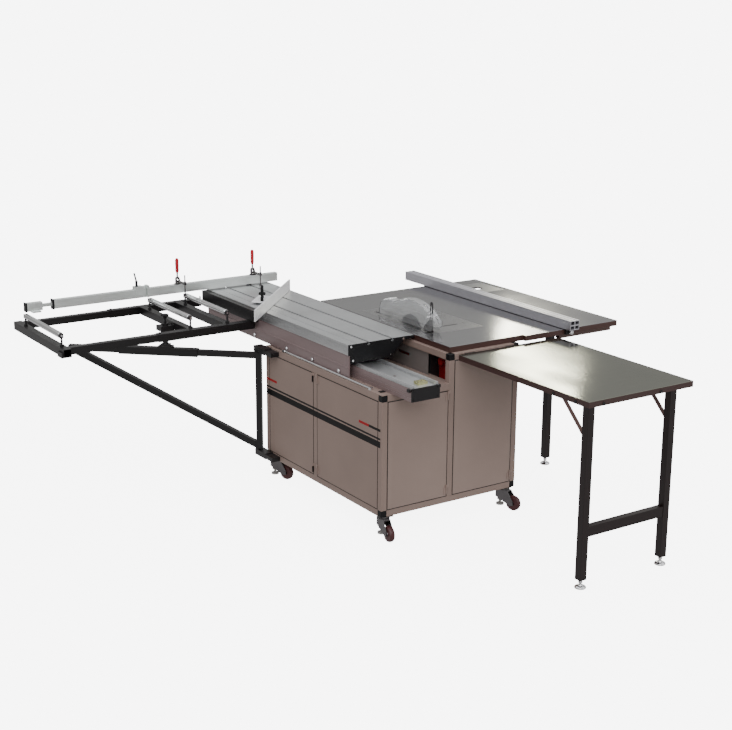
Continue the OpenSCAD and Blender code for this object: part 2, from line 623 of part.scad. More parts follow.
// ---------------------------------------------------------------- crosscut fence
module fence_bar() at() color([0.8, 0.81, 0.82]) difference() {
    bx(cf_x0, cf_x1, cf_y0, cf_y0 + cf_w, cf_z0, cf_z1);
    bx(cf_x0 - 1, cf_x1 + 1, cf_y0 + 3, cf_y0 + cf_w - 3, cf_z0 + 3, cf_z0 + 12);
    bx(cf_x0 - 1, cf_x1 + 1, cf_y0 + 9, cf_y0 + cf_w - 9, cf_z1 - 9, cf_z1 - 3);
    bx(cf_x0 - 1, cf_x1 + 1, cf_y0 + 12, cf_y0 + cf_w - 12, cf_z1 - 4, cf_z1 + 1);
    bx(cf_x0 - 1, cf_x0 + 380, cf_y0 + 6.9, cf_y0 + 23.1, cf_z0 + 14.9, cf_z0 + 31.1);
}
module fence_pin() at() color([0.3, 0.3, 0.31])
    cz(cf_pin_x, cf_y0 + cf_w / 2, work_z + e, cf_z0 - q, 14);
module fence_seat() at() color([0.3, 0.3, 0.31]) union() {
    bx(slot_b - 8.7, slot_b + 8.7, cf_y0 - 20, car_y1 - 2, work_z - 13, work_z - 5.4);
    cz(slot_b, cf_y0 + cf_w / 2, work_z - 8, work_z, 4.7);
}
module fence_cap() at() color([0.1, 0.1, 0.11]) difference() {
    bx(cf_x0 - 8, cf_x0 - q, cf_y0 - 3, cf_y0 + cf_w + 3, cf_z0 - 3, cf_z1 + 3);
    bx(cf_x0 - 9, cf_x0 + 1, cf_y0 + 6.9, cf_y0 + 23.1, cf_z0 + 14.9, cf_z0 + 31.1);
}
ex_x0 = cf_x0 - 140;
module fence_rod() at() color([0.7, 0.7, 0.71])
    bx(ex_x0 + 80 + q, cf_x0 + 300, cf_y0 + 7, cf_y0 + 23, cf_z0 + 15, cf_z0 + 31);
module fence_end() at() color([0.72, 0.73, 0.74]) union() {
    bx(ex_x0, ex_x0 + 80, cf_y0, cf_y0 + cf_w, cf_z0 + 2, cf_z1 - 2);
    bx(ex_x0 + 22, ex_x0 + 66, cf_y0 - 16, cf_y0 + cf_w - 6, cf_z0 - 5, cf_z0 + 2);
}
module fence_end_cap() at() color([0.08, 0.08, 0.09])
    bx(ex_x0 - 8, ex_x0 - q, cf_y0 - 2, cf_y0 + cf_w + 2, cf_z0, cf_z1);
// flip stop
module stop_body() at() color([0.6, 0.62, 0.6]) difference() {
    bx(stop_x - 22, stop_x + 34, cf_y0 - 6, cf_y0 + cf_w + 6, cf_z0 + 16, cf_z1 + 14);
    bx(stop_x - 23, stop_x + 35, cf_y0 - 0.3, cf_y0 + cf_w + 0.3, cf_z0 + 15, cf_z1 + e);
    bx(stop_x + 22, stop_x + 35, cf_y0 - 8, cf_y0 + cf_w + 8, cf_z1 + 2, cf_z1 + 15);
}
module stop_lever() at() color([0.06, 0.06, 0.07]) union() {
    cz(stop_x - 8, cf_y0 + 15, cf_z1 + 14 + e, cf_z1 + 44, 7);
    translate([stop_x - 8, cf_y0 + 15, cf_z1 + 40]) rotate([0, -14, 0]) cylinder(r = 4.5, h = 46);
}
module stop_arm() at() color([0.7, 0.71, 0.7]) difference() {
    union() {
        bx(stop_x + 38, stop_x + 50, cf_y0 - 16, cf_y0 + 21, cf_z1 + 4, cf_z1 + 18);
        bx(stop_x + 38, stop_x + 50, cf_y0 - 16, cf_y0 - 6, cf_z0 + 2, cf_z1 + 5);
    }
    cx(stop_x + 30, stop_x + 60, cf_y0 + 15, cf_z1 + 11, 4.05);
}
module stop_axle() at() color([0.5, 0.5, 0.51]) union() {
    cx(stop_x + 22, stop_x + 52, cf_y0 + 15, cf_z1 + 8 + 3, 4);
    bx(stop_x + 22, stop_x + 37.5, cf_y0 + 6, cf_y0 + 24, cf_z1 + 2, cf_z1 + 8);
}

// toggle clamps that press the work down beside the fence
module toggle_base(x) union() {
    bx(x - 15, x + 15, cf_y0 + 1, cf_y0 + cf_w - 1, cf_z1, cf_z1 + 4);
    for (v = [-10, 7]) translate([x + v, cf_y0 + cf_w - 4, 0]) rotate([90, 0, 90]) linear_extrude(height = 3)
        polygon([[-24, cf_z1 + 4], [0, cf_z1 + 4], [0, cf_z1 + 30], [-10, cf_z1 + 40], [-24, cf_z1 + 22]]);
    cx(x - 12, x + 12, cf_y0 + 8, cf_z1 + 16, 3);
    cx(x - 12, x + 12, cf_y0 + 18, cf_z1 + 30, 3);
}
module toggle_bases() at() color([0.72, 0.73, 0.76]) {
    toggle_base(tog_a);
    toggle_base(tog_b);
}
module toggle_arm(x) difference() {
    union() {
        bx(x - 6, x + 6, cf_y0 - 76, cf_y0 + 8, cf_z1 + 11, cf_z1 + 21);
        cx(x - 6, x + 6, cf_y0 + 8, cf_z1 + 16, 5);
        cz(x, cf_y0 - 70, work_z + 14, cf_z1 + 62, 3.5);
        cz(x, cf_y0 - 70, work_z + 4, work_z + 16, 7);
        cz(x, cf_y0 - 70, cf_z1 + 21, cf_z1 + 28, 7);
    }
    cx(x - 20, x + 20, cf_y0 + 8, cf_z1 + 16, 3.05);
}
module toggle_handle(x) difference() {
    union() {
        translate([x, cf_y0 + 18, 0]) cx(-6, 6, 0, cf_z1 + 30, 4.4);
        bx(x - 4, x + 4, cf_y0 + 14, cf_y0 + 22, cf_z1 + 30, cf_z1 + 72);
    }
    cx(x - 20, x + 20, cf_y0 + 18, cf_z1 + 30, 3.05);
}
module toggle_grip(x) difference() {
    cz(x, cf_y0 + 18, cf_z1 + 60, cf_z1 + 138, 9.5);
    bx(x - 4, x + 4, cf_y0 + 14, cf_y0 + 22, cf_z1 + 50, cf_z1 + 72);
}
module toggle_arm_a() at() color([0.7, 0.7, 0.74]) toggle_arm(tog_a);
module toggle_arm_b() at() color([0.7, 0.7, 0.74]) toggle_arm(tog_b);
module toggle_link_a() at() color([0.7, 0.7, 0.74]) toggle_handle(tog_a);
module toggle_link_b() at() color([0.7, 0.7, 0.74]) toggle_handle(tog_b);
module toggle_grip_a() at() color([0.65, 0.05, 0.08]) toggle_grip(tog_a);
module toggle_grip_b() at() color([0.65, 0.05, 0.08]) toggle_grip(tog_b);

// ---------------------------------------------------------------- mitre gauge
module on_gauge() translate([slot_a, mg_y, 0]) rotate([0, 0, mg_a]) children();
module mitre_base() at() color([0.25, 0.25, 0.26]) union() {
    bx(slot_a - 4.7, slot_a + 4.7, mg_y - 50, mg_y + 50, work_z - 5, work_z + e);
    bx(slot_a - 8.7, slot_a + 8.7, mg_y - 50, mg_y + 50, work_z - 12.7, work_z - 4.8);
    bx(slot_a - 28, slot_a + 28, mg_y - 34, mg_y + 34, work_z + e, work_z + 8);
    cz(slot_a, mg_y, work_z + 8, work_z + 16, 6);
}
module mitre_plate() at() color([0.86, 0.86, 0.87]) on_gauge() difference() {
    union() {
        translate([-mg_l0, -83, work_z + 2]) cube([mg_l0 + mg_l1, 7, 58]);
        translate([-84, -76, work_z + 8 + e]) cube([144, 111, 6]);
    }
    translate([0, 0, work_z]) cylinder(r = 6.05, h = 30);
}
module mitre_knob() at() color([0.05, 0.05, 0.06]) on_gauge() union() {
    translate([0, 0, work_z + 16 + e]) cylinder(r = 8, h = 16);
    translate([0, 0, work_z + 32]) cylinder(r = 19, h = 9);
    translate([0, 0, work_z + 41]) cylinder(r = 15, h = 7);
}
module mitre_lever() at() color([0.05, 0.05, 0.06]) on_gauge() union() {
    translate([-65, -15, work_z + 14.3 + e]) cylinder(r = 8, h = 22);
    translate([-65, -15, work_z + 36]) rotate([0, 8, 0]) cylinder(r = 7.5, h = 62);
}

// ---------------------------------------------------------------- rip fence
module rip_bar() at() color([0.78, 0.78, 0.8]) along_y(rf_y0, rip_l) difference() {
    translate([rf_x, rf_z0]) square([rip_w, rip_h]);
    for (i = [0, 1], j = [0, 1]) translate([rf_x + 4 + i * (rip_w / 2 - 1), rf_z0 + 4 + j * (rip_h / 2 - 1)])
        square([rip_w / 2 - 7, rip_h / 2 - 7]);
    for (i = [0.27, 0.73]) translate([rf_x + rip_w * i - 3, rf_z1 - 2.5]) square([6, 3]);
    translate([rf_x + rip_w - 2.5, rf_z0 + rip_h / 2 - 4]) square([3, 8]);
}
module rip_jaw(y0) bx(rf_x + 6, rf_x + rip_w - 6, y0, y0 + 15, high_z + 2, rf_z0 - q);
module rip_clamps() at() color([0.07, 0.07, 0.08]) {
    rip_jaw(ext_y0 - 15.3);
    rip_jaw(ext_y1 + e);
}
module rip_screw(y0, y1) union() {
    cy(rf_x + rip_w / 2, y0, y1, high_z + 14, 4);
    cy(rf_x + rip_w / 2, (y0 + y1) / 2 - 6, (y0 + y1) / 2 + 6, high_z + 14, 10);
}
module rip_screws() at() color([0.7, 0.7, 0.71]) {
    rip_screw(ext_y0 - 38, ext_y0 - 15.3 - q);
    rip_screw(ext_y1 + 15.3 + q, ext_y1 + 38);
}

// ---------------------------------------------------------------- saw unit
module saw_post() at() color([0.06, 0.06, 0.07])
    tz(plate_x - 56, 190, cab_z + 4, high_z, 36, 3);
module saw_runner() at() color([0.5, 0.5, 0.52])
    bx(plate_x - 20 + q, plate_x - e, 197, 219, 500, high_z - 20);
// drawn in Y and Z; the raised part stands inside the hole in the board
module sheet_shape() difference() {
    polygon([[55, 640], [800, 640], [800, high_z - 22], [780, high_z - 22], [780, blade_z + flange_r],
        [400, blade_z + flange_r], [400, high_z - 22], [55, high_z - 22]]);
    translate([blade_y, blade_z]) circle(r = 9.2);
    translate([score_y, score_z]) circle(r = 7.2);
}
module saw_sheet() at() color([0.6, 0.06, 0.07]) translate([plate_x, 0, 0]) rotate([90, 0, 90])
    linear_extrude(height = 6) sheet_shape();
module housing(y, z, r, bore) difference() {
    cx(plate_x + 6, blade_x - 8, y, z, r);
    cx(plate_x, blade_x, y, z, bore + 0.05);
}
module saw_bearings() at() color([0.45, 0.46, 0.48]) {
    housing(blade_y, blade_z, flange_r, 8);
    housing(score_y, score_z, score_fl + 1, 6);
}
module saw_motor() at() color([0.2, 0.2, 0.22]) union() {
    cx(plate_x + 6, plate_x + 190, mot_y, mot_z, 50);
    bx(plate_x + 50, plate_x + 120, mot_y - 25, mot_y + 25, mot_z + 40, mot_z + 66);
}
module saw_knob() at() color([0.05, 0.05, 0.06]) union() {
    cx(plate_x - 12, plate_x, 155, 745, 7);
    cx(plate_x - 28, plate_x - 12, 155, 745, 17);
}
// shaft with its two flanges and nut; the inner flange stands 0.4 off the bearing
module spindle(y, z, bore, r) union() {
    cx(plate_x + 2, blade_x + 14, y, z, bore);
    cx(blade_x - 7.6, blade_x - 1.5, y, z, r);
    cx(blade_x + 1.5, blade_x + 7.5, y, z, r);
    translate([blade_x + 7.5, y, z]) rotate([0, 90, 0]) cylinder(r = bore + 4, h = 5, $fn = 6);
}
// flat disc with n square gullets round its rim
module toothed(r, n, t) difference() {
    rotate([0, 90, 0]) cylinder(r = r, h = t, center = true);
    for (i = [0:n - 1]) rotate([i * 360 / n, 0, 0]) translate([-t, r - 3.4, -1.2]) cube([2 * t, 6, 2.4]);
}
module arbor() at() color([0.6, 0.6, 0.62]) spindle(blade_y, blade_z, 8, flange_r - 1);
module main_disc() at() color([0.35, 0.35, 0.37])
    translate([blade_x, blade_y, blade_z]) toothed(blade_r, 40, 3);
module score_arbor() at() color([0.6, 0.6, 0.62]) spindle(score_y, score_z, 6, score_fl);
module score_disc() at() color([0.35, 0.35, 0.37])
    translate([blade_x, score_y, score_z]) toothed(score_r, 24, 3);
module knife() at() color([0.12, 0.12, 0.13]) translate([blade_x - 1, 0, 0]) rotate([90, 0, 90])
    linear_extrude(height = 2) difference() {
        union() {
            polygon([[292, 700], [330, 700], [330, 760], [366, 780], [368, 860], [350, 880],
                [322, 905], [322, 980], [300, 980], [296, 860], [292, 760]]);
            translate([311, 980]) circle(r = 11);
        }
        translate([307, work_z + 55]) square([8, 70]);
        translate([blade_y, blade_z]) circle(r = blade_r + 4);
    }
module knife_arm() at() color([0.3, 0.3, 0.32]) union() {
    bx(plate_x + 6, blade_x - 1, 292, 330, 702, 740);
    bx(blade_x + 1, blade_x + 9, 292, 330, 702, 740);
}
// clear guard drawn in Y and Z
module guard_shape(o) intersection() {
    union() {
        translate([449, 687]) circle(r = 292 - o, $fn = 128);
        translate([640, 870]) circle(r = 78 - o);
    }
    translate([253 + o, work_z + 4]) square([467 - 2 * o, 200]);
}
module blade_guard() at() color([0.85, 0.88, 0.9, 0.5]) difference() {
    translate([blade_x - 24, 0, 0]) rotate([90, 0, 90]) linear_extrude(height = 48) guard_shape(0);
    translate([blade_x - 21, 0, 0]) rotate([90, 0, 90]) linear_extrude(height = 42) difference() {
        guard_shape(3);
    }
    bx(blade_x - 30, blade_x + 30, 240, 720, work_z, work_z + 7);
    bx(blade_x - 2.5, blade_x + 2.5, 240, 378, work_z, work_z + 150);
    // heel cut back so that the guard can tip up
    translate([blade_x - 30, 0, 0]) rotate([90, 0, 90]) linear_extrude(height = 60)
        polygon([[240, work_z], [283, work_z], [283, work_z + 7], [253, work_z + 36], [240, work_z + 36]]);
    cx(blade_x - 30, blade_x + 30, 311, bolt_z, 3.55);
}
module guard_bolt() at() color([0.5, 0.5, 0.52]) union() {
    cx(blade_x - 30, blade_x + 30, 311, bolt_z, 3.5);
    cx(blade_x - 30, blade_x - 24 - e, 311, bolt_z, 8);
    cx(blade_x + 24 + e, blade_x + 30, 311, bolt_z, 8);
}

// ---------------------------------------------------------------- assemblies
module cabinet_frame() {
    frame_posts();
    frame_bars();
}
module cabinet_panels() {
    fixed_panels();
    floor_pan();
    ledge_plate();
    side_wall();
    door_pins();
}
module main_table() {
    main_board();
    main_skin();
}
module extension_table() {
    extension_board();
    extension_skin();
}
module table_inserts() {
    insert_plate();
    router_plate();
}
module support_table() {
    out_board();
    out_skin();
}
module support_fittings() {
    out_hooks();
    out_bolts();
}
module table_legs() {
    out_legs();
    out_crossbar();
    out_stays();
    extension_rail();
    extension_leg();
}
module levelling_feet() {
    foot_1();
    foot_2();
    foot_3();
    leg_plugs();
}
module guide_beam() {
    guide_beam_body();
}
module beam_fittings() {
    beam_caps();
    beam_screws();
    end_stop();
    stop_bolts();
    bumpers();
}
module push_rod() {
    lock_rod();
    rod_blocks();
}
module saw_column() {
    saw_post();
    saw_runner();
}
module carriage_ends() {
    end_plates();
    end_screws();
}
module carriage_skirt() {
    skirt_sheet();
    skirt_keeper();
}
module carriage_bolts() {
    skirt_bolts();
    rig_screws();
    fence_seat();
}
module outrigger_frame() {
    rig_inner_bar();
    rig_tubes();
    rig_cross();
}
module outrigger_stands() {
    stands_1();
    stands_2();
    pin_clamp();
}
module outrigger_slide() {
    slide_tubes();
    slide_cross();
    slide_corner();
    stands_3();
}
module swing_arm() {
    swing_post();
    swing_tube();
    swing_brace();
}
module swing_sleeve() {
    sleeve();
}
module cross_fence() {
    fence_bar();
    fence_cap();
    fence_pin();
}
module fence_extension() {
    fence_rod();
    fence_end();
    fence_end_cap();
}
module flip_stop_body() {
    stop_body();
    stop_lever();
    stop_axle();
}
module flip_stop_arm() {
    stop_arm();
}
module toggle_handle_a() {
    toggle_link_a();
    toggle_grip_a();
}
module toggle_handle_b() {
    toggle_link_b();
    toggle_grip_b();
}
module mitre_fence() {
    mitre_plate();
    mitre_knob();
    mitre_lever();
}
module rip_fence() {
    rip_bar();
    rip_clamps();
    rip_screws();
}
module saw_plate() {
    saw_sheet();
    saw_bearings();
    saw_knob();
}
module main_blade() {
    arbor();
    main_disc();
}
module score_blade() {
    score_arbor();
    score_disc();
}
module riving_knife() {
    knife();
    knife_arm();
}

cabinet_frame();
frame_corners();
cabinet_panels();
castor_plates();
main_table();
extension_table();
table_inserts();
support_table();
support_fittings();
table_legs();
levelling_feet();
guide_beam();
beam_tracks();
beam_fittings();
push_rod();
saw_column();
swing_blocks();
door_rear_low();
door_rear_tall();
door_side_a();
door_side_b();
fork_1();
fork_2();
fork_3();
fork_4();
wheel_1();
wheel_2();
wheel_3();
wheel_4();
carriage_deck();
carriage_ends();
carriage_skirt();
carriage_bolts();
outrigger_frame();
outrigger_stands();
outrigger_slide();
roller_1();
roller_2();
roller_3();
swing_arm();
swing_sleeve();
cross_fence();
fence_extension();
flip_stop_body();
flip_stop_arm();
toggle_bases();
toggle_arm_a();
toggle_arm_b();
toggle_handle_a();
toggle_handle_b();
mitre_base();
mitre_fence();
rip_fence();
saw_plate();
saw_motor();
main_blade();
score_blade();
riving_knife();
blade_guard();
guard_bolt();
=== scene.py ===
"""Looks of a sliding-table panel saw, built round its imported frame.

Metres, Z up. Each sub-assembly is a class that dresses its solids and adds the fine pieces
that the solids leave out.
"""

import json
import logging
import math
from collections.abc import Callable, Sequence
from dataclasses import dataclass, field
from enum import Enum
from functools import cached_property

import bmesh
import bpy
from mathutils import Matrix, Vector

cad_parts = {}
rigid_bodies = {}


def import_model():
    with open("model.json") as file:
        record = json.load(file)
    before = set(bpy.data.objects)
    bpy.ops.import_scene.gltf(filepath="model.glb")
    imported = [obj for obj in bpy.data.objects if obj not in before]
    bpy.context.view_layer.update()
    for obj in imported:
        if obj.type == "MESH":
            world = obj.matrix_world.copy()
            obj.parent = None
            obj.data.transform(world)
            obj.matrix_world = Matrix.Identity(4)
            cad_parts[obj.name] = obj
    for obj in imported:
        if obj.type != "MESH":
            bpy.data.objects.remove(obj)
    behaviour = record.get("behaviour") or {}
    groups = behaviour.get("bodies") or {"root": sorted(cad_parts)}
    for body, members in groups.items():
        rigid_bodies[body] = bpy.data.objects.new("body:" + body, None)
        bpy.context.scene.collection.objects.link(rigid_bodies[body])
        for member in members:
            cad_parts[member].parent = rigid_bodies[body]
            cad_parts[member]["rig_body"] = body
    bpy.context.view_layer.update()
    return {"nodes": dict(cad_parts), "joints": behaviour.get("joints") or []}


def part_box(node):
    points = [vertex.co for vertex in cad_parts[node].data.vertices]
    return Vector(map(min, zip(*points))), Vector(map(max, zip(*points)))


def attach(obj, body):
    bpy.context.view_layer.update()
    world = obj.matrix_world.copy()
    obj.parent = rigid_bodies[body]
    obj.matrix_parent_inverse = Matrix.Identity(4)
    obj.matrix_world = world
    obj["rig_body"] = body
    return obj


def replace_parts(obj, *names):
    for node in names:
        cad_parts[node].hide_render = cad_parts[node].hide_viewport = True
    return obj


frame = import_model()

LOG = logging.getLogger("panel_saw")
Colour = tuple[float, float, float]
Socket = bpy.types.NodeSocket


class Axis(Enum):
    """A direction of the frame."""

    X = Vector((1, 0, 0))
    Y = Vector((0, 1, 0))
    Z = Vector((0, 0, 1))
    BACK_X = Vector((-1, 0, 0))
    BACK_Y = Vector((0, -1, 0))

    @property
    def turn(self) -> Matrix:
        """The turn that takes +Z to this direction."""
        return self.value.to_track_quat("Z", "Y").to_matrix().to_4x4()


# ---------------------------------------------------------------- finishes
class Sheet:
    """One material's node tree, with short calls for the nodes that make it."""

    def __init__(self, name: str) -> None:
        """Starts a material of that name with a bare surface shader."""
        self.material = bpy.data.materials.new(name)
        self.material.use_nodes = True
        self.tree = self.material.node_tree
        self.shader = self.tree.nodes["Principled BSDF"]
        self._point: Socket | None = None

    def set(self, **values: object) -> None:
        """Sets the shader's own sockets; an underscore in a name stands for a space."""
        for name, value in values.items():
            self.shader.inputs[name.replace("_", " ")].default_value = value

    def node(self, kind: str, **settings: object) -> bpy.types.Node:
        """Adds one node and sets its properties."""
        made = self.tree.nodes.new(kind)
        for name, value in settings.items():
            setattr(made, name, value)
        return made

    def link(self, source: Socket, target: Socket) -> None:
        """Joins two sockets."""
        self.tree.links.new(source, target)

    @property
    def point(self) -> Socket:
        """The place on the object, in its own coordinates."""
        if self._point is None:
            self._point = self.node("ShaderNodeTexCoord").outputs["Object"]
        return self._point

    def stretched(self, scale: Sequence[float]) -> Socket:
        """Object coordinates scaled by a factor for each axis."""
        mapping = self.node("ShaderNodeMapping")
        self.link(self.point, mapping.inputs["Vector"])
        mapping.inputs["Scale"].default_value = scale
        return mapping.outputs["Vector"]

    def noise(self, scale: float, detail: float = 4, stretch: Sequence[float] = (1, 1, 1)) -> Socket:
        """Soft noise from 0 to 1.

        Args:
            scale: how many waves to a metre.
            detail: how many finer layers.
            stretch: a factor for each axis; a small one draws the grain out along it.

        Returns:
            The noise value's socket.
        """
        made = self.node("ShaderNodeTexNoise")
        self.link(self.stretched(stretch), made.inputs["Vector"])
        made.inputs["Scale"].default_value = scale
        made.inputs["Detail"].default_value = detail
        return made.outputs["Fac"]

    def span(self, value: Socket, low: float, high: float, to_low: float, to_high: float) -> Socket:
        """Maps a value from one span to another, held at its ends."""
        made = self.node("ShaderNodeMapRange")
        self.link(value, made.inputs["Value"])
        for name, number in zip(("From Min", "From Max", "To Min", "To Max"), (low, high, to_low, to_high)):
            made.inputs[name].default_value = number
        return made.outputs["Result"]

    def sum(self, kind: str, a: Socket | float, b: Socket | float) -> Socket:
        """One step of arithmetic, such as ADD or MULTIPLY."""
        made = self.node("ShaderNodeMath", operation=kind)
        for value, socket in zip((a, b), made.inputs):
            if isinstance(value, (int, float)):
                socket.default_value = value
            else:
                self.link(value, socket)
        return made.outputs["Value"]

    def along(self, axis: str) -> Socket:
        """The place along X, Y or Z."""
        split = self.node("ShaderNodeSeparateXYZ")
        self.link(self.point, split.inputs["Vector"])
        return split.outputs[axis]

    def band(self, axis: str, low: float, high: float) -> Socket:
        """1 between two places along an axis and 0 elsewhere."""
        place = self.along(axis)
        return self.sum("MULTIPLY", self.sum("GREATER_THAN", place, low), self.sum("LESS_THAN", place, high))

    def mix(self, share: Socket, a: Socket | Colour, b: Socket | Colour) -> Socket:
        """Blends two colours."""
        made = self.node("ShaderNodeMix", data_type="RGBA")
        self.link(share, made.inputs["Factor"])
        for value, socket in zip((a, b), (made.inputs[6], made.inputs[7])):
            if isinstance(value, tuple):
                socket.default_value = (*value, 1)
            else:
                self.link(value, socket)
        return made.outputs[2]

    def paint(self, colour: Socket) -> None:
        """Gives the surface its colour."""
        self.link(colour, self.shader.inputs["Base Color"])

    def roughness(self, value: Socket) -> None:
        """Gives the surface its roughness."""
        self.link(value, self.shader.inputs["Roughness"])

    def relief(self, height: Socket, strength: float, depth: float) -> None:
        """Raises the surface a little by a height.

        Args:
            height: the relief, from 0 to 1.
            strength: how much of it shows.
            depth: its full depth in metres.
        """
        bump = self.node("ShaderNodeBump")
        bump.inputs["Strength"].default_value = strength
        bump.inputs["Distance"].default_value = depth
        self.link(height, bump.inputs["Height"])
        self.link(bump.outputs["Normal"], self.shader.inputs["Normal"])


def shade(colour: Colour, factor: float) -> Colour:
    """The same colour, lighter or darker."""
    return tuple(min(1.0, c * factor) for c in colour)


# Painted shade: the near-black drawn where a door's or an insert's gap would lie in shadow.
GAP_SHADE_INK: Colour = (0.012, 0.009, 0.008)


@dataclass(frozen=True)
class Panel:
    """A door's outline, round which a thin dark line of painted shade stands for the shadow in its gap to the
    frame.
    """

    axis: str
    span: tuple[float, float]
    rise: tuple[float, float]
    # width of the painted shade line, in metres
    line: float = 0.0042

    @classmethod
    def of(cls, node: str, axis: str) -> "Panel":
        """The outline of a node, across X or Y and up Z."""
        low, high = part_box(node)
        part = 0 if axis == "X" else 1
        return cls(axis, (low[part] - 0.0005, high[part] + 0.0005), (low.z - 0.0005, high.z + 0.0005))


@dataclass(frozen=True)
class PowderCoat:
    """Baked paint with a fine orange peel, a little uneven from place to place."""

    name: str
    colour: Colour
    rough: float = 0.42
    metallic: float = 0.0
    peel: float = 0.22
    coat: float = 0.12
    gloss: float = 0.5
    panels: tuple["Panel", ...] = ()

    def tint(self, sheet: Sheet) -> Socket:
        """The paint's own colour, with its mottling and a dark line of painted shade round each panel, where
        its gap would be in shadow.
        """
        cloud = sheet.span(sheet.noise(2.6, 3), 0.3, 0.7, 0, 1)
        return self.paint_gap_shade(sheet, sheet.mix(cloud, shade(self.colour, 0.93), shade(self.colour, 1.06)))

    def paint_gap_shade(self, sheet: Sheet, colour: Socket) -> Socket:
        """Draws painted shade over a colour: a dark line round each panel, as if its gap were in shadow."""
        for panel in self.panels:
            outer = sheet.sum("MULTIPLY", sheet.band(panel.axis, *panel.span), sheet.band("Z", *panel.rise))
            across = sheet.band(panel.axis, panel.span[0] + panel.line, panel.span[1] - panel.line)
            upward = sheet.band("Z", panel.rise[0] + panel.line, panel.rise[1] - panel.line)
            inner = sheet.sum("MULTIPLY", across, upward)
            # painted shade: the rim between the outer and inner outline is drawn near-black
            colour = sheet.mix(sheet.sum("SUBTRACT", outer, inner), colour, GAP_SHADE_INK)
        return colour

    def build(self) -> bpy.types.Material:
        """Makes the material."""
        sheet = Sheet(self.name)
        sheet.set(Metallic=self.metallic, Coat_Weight=self.coat, Coat_Roughness=0.25,
                  Specular_IOR_Level=self.gloss)
        sheet.paint(self.tint(sheet))
        peel = sheet.noise(620, 3)
        sheet.roughness(sheet.span(peel, 0.3, 0.7, self.rough - 0.06, self.rough + 0.08))
        sheet.relief(peel, self.peel, 0.0004)
        return sheet.material


@dataclass(frozen=True)
class Stripe:
    """One level stripe on the cabinet's side, in metres along Y and Z."""

    y: tuple[float, float]
    z: tuple[float, float]
    colour: Colour


@dataclass(frozen=True)
class StripedPaint(PowderCoat):
    """Paint that carries level stripes on the face that looks to -X."""

    face_x: float = 0.0
    stripes: tuple[Stripe, ...] = ()

    def tint(self, sheet: Sheet) -> Socket:
        """The paint with its stripes, and the painted shade round each panel drawn over them."""
        colour = super().tint(sheet)
        outer = sheet.sum("LESS_THAN", sheet.along("X"), self.face_x)
        for stripe in self.stripes:
            inside = sheet.sum("MULTIPLY", sheet.band("Y", *stripe.y), sheet.band("Z", *stripe.z))
            colour = sheet.mix(sheet.sum("MULTIPLY", inside, outer), colour, stripe.colour)
        return self.paint_gap_shade(sheet, colour)


@dataclass(frozen=True)
class BrushedMetal:
    """Drawn or brushed metal: fine streaks along one axis and faint hand marks."""

    name: str
    colour: Colour
    rough: float = 0.3
    grain: tuple[float, float, float] = (1, 0.02, 1)
    streak: float = 0.16
    tone: float = 0.1
    metallic: float = 1.0

    def build(self) -> bpy.types.Material:
        """Makes the material."""
        sheet = Sheet(self.name)
        sheet.set(Metallic=self.metallic)
        lines = sheet.noise(900, 5, self.grain)
        marks = sheet.noise(5, 4)
        streaky = sheet.mix(sheet.span(lines, 0.3, 0.7, 0, 1), shade(self.colour, 1 - self.tone),
                            shade(self.colour, 1 + self.tone))
        sheet.paint(sheet.mix(sheet.span(marks, 0.45, 0.75, 0, 0.5), streaky, shade(self.colour, 0.86)))
        both = sheet.sum("ADD", sheet.span(lines, 0.3, 0.7, 0, 0.12), sheet.span(marks, 0.3, 0.7, 0, 0.1))
        sheet.roughness(sheet.sum("ADD", both, self.rough - 0.08))
        sheet.relief(lines, self.streak, 0.0002)
        return sheet.material


@dataclass(frozen=True)
class TableTop:
    """A board with a steel skin: streaked steel above a height and a laminate edge under it."""

    name: str
    skin: Colour
    edge: Colour
    split_z: float
    rough: float = 0.12
    grain: tuple[float, float, float] = (0.02, 1, 1)
    wave: float = 0.010

    def build(self) -> bpy.types.Material:
        """Makes the material."""
        sheet = Sheet(self.name)
        steel = sheet.sum("GREATER_THAN", sheet.along("Z"), self.split_z)
        lines = sheet.noise(700, 5, self.grain)
        marks = sheet.noise(3.2, 5)
        streak = sheet.span(lines, 0.3, 0.7, 0, 1)
        steel_tint = sheet.mix(streak, shade(self.skin, 0.92), shade(self.skin, 1.08))
        steel_tint = sheet.mix(sheet.span(marks, 0.42, 0.72, 0, 0.45), steel_tint, shade(self.skin, 0.8))
        wood = sheet.noise(60, 4, (0.1, 0.1, 3))
        edge_tint = sheet.mix(wood, shade(self.edge, 0.75), shade(self.edge, 1.2))
        sheet.paint(sheet.mix(steel, edge_tint, steel_tint))
        wear = sheet.sum("ADD", sheet.span(lines, 0.3, 0.7, 0, 0.03), sheet.span(marks, 0.3, 0.7, 0, 0.05))
        metal_rough = sheet.sum("MULTIPLY", steel, sheet.sum("ADD", wear, self.rough - 0.45))
        sheet.roughness(sheet.sum("ADD", metal_rough, 0.45))
        sheet.link(steel, sheet.shader.inputs["Metallic"])
        swell = sheet.sum("MULTIPLY", sheet.noise(1.7, 1, (1.3, 0.6, 1)), self.wave)
        fine = sheet.sum("MULTIPLY", lines, 0.00002)
        sheet.relief(sheet.sum("MULTIPLY", sheet.sum("ADD", swell, fine), steel), 1.0, 1.0)
        return sheet.material


@dataclass(frozen=True)
class PolishedMetal:
    """Plated or ground metal with faint smudges."""

    name: str
    colour: Colour
    rough: float = 0.1

    def build(self) -> bpy.types.Material:
        """Makes the material."""
        sheet = Sheet(self.name)
        sheet.set(Metallic=1.0)
        smudge = sheet.noise(30, 5)
        sheet.paint(sheet.mix(sheet.span(smudge, 0.4, 0.7, 0, 1), self.colour, shade(self.colour, 0.85)))
        sheet.roughness(sheet.span(smudge, 0.3, 0.7, self.rough, self.rough + 0.12))
        sheet.relief(sheet.noise(400, 3), 0.05, 0.0002)
        return sheet.material


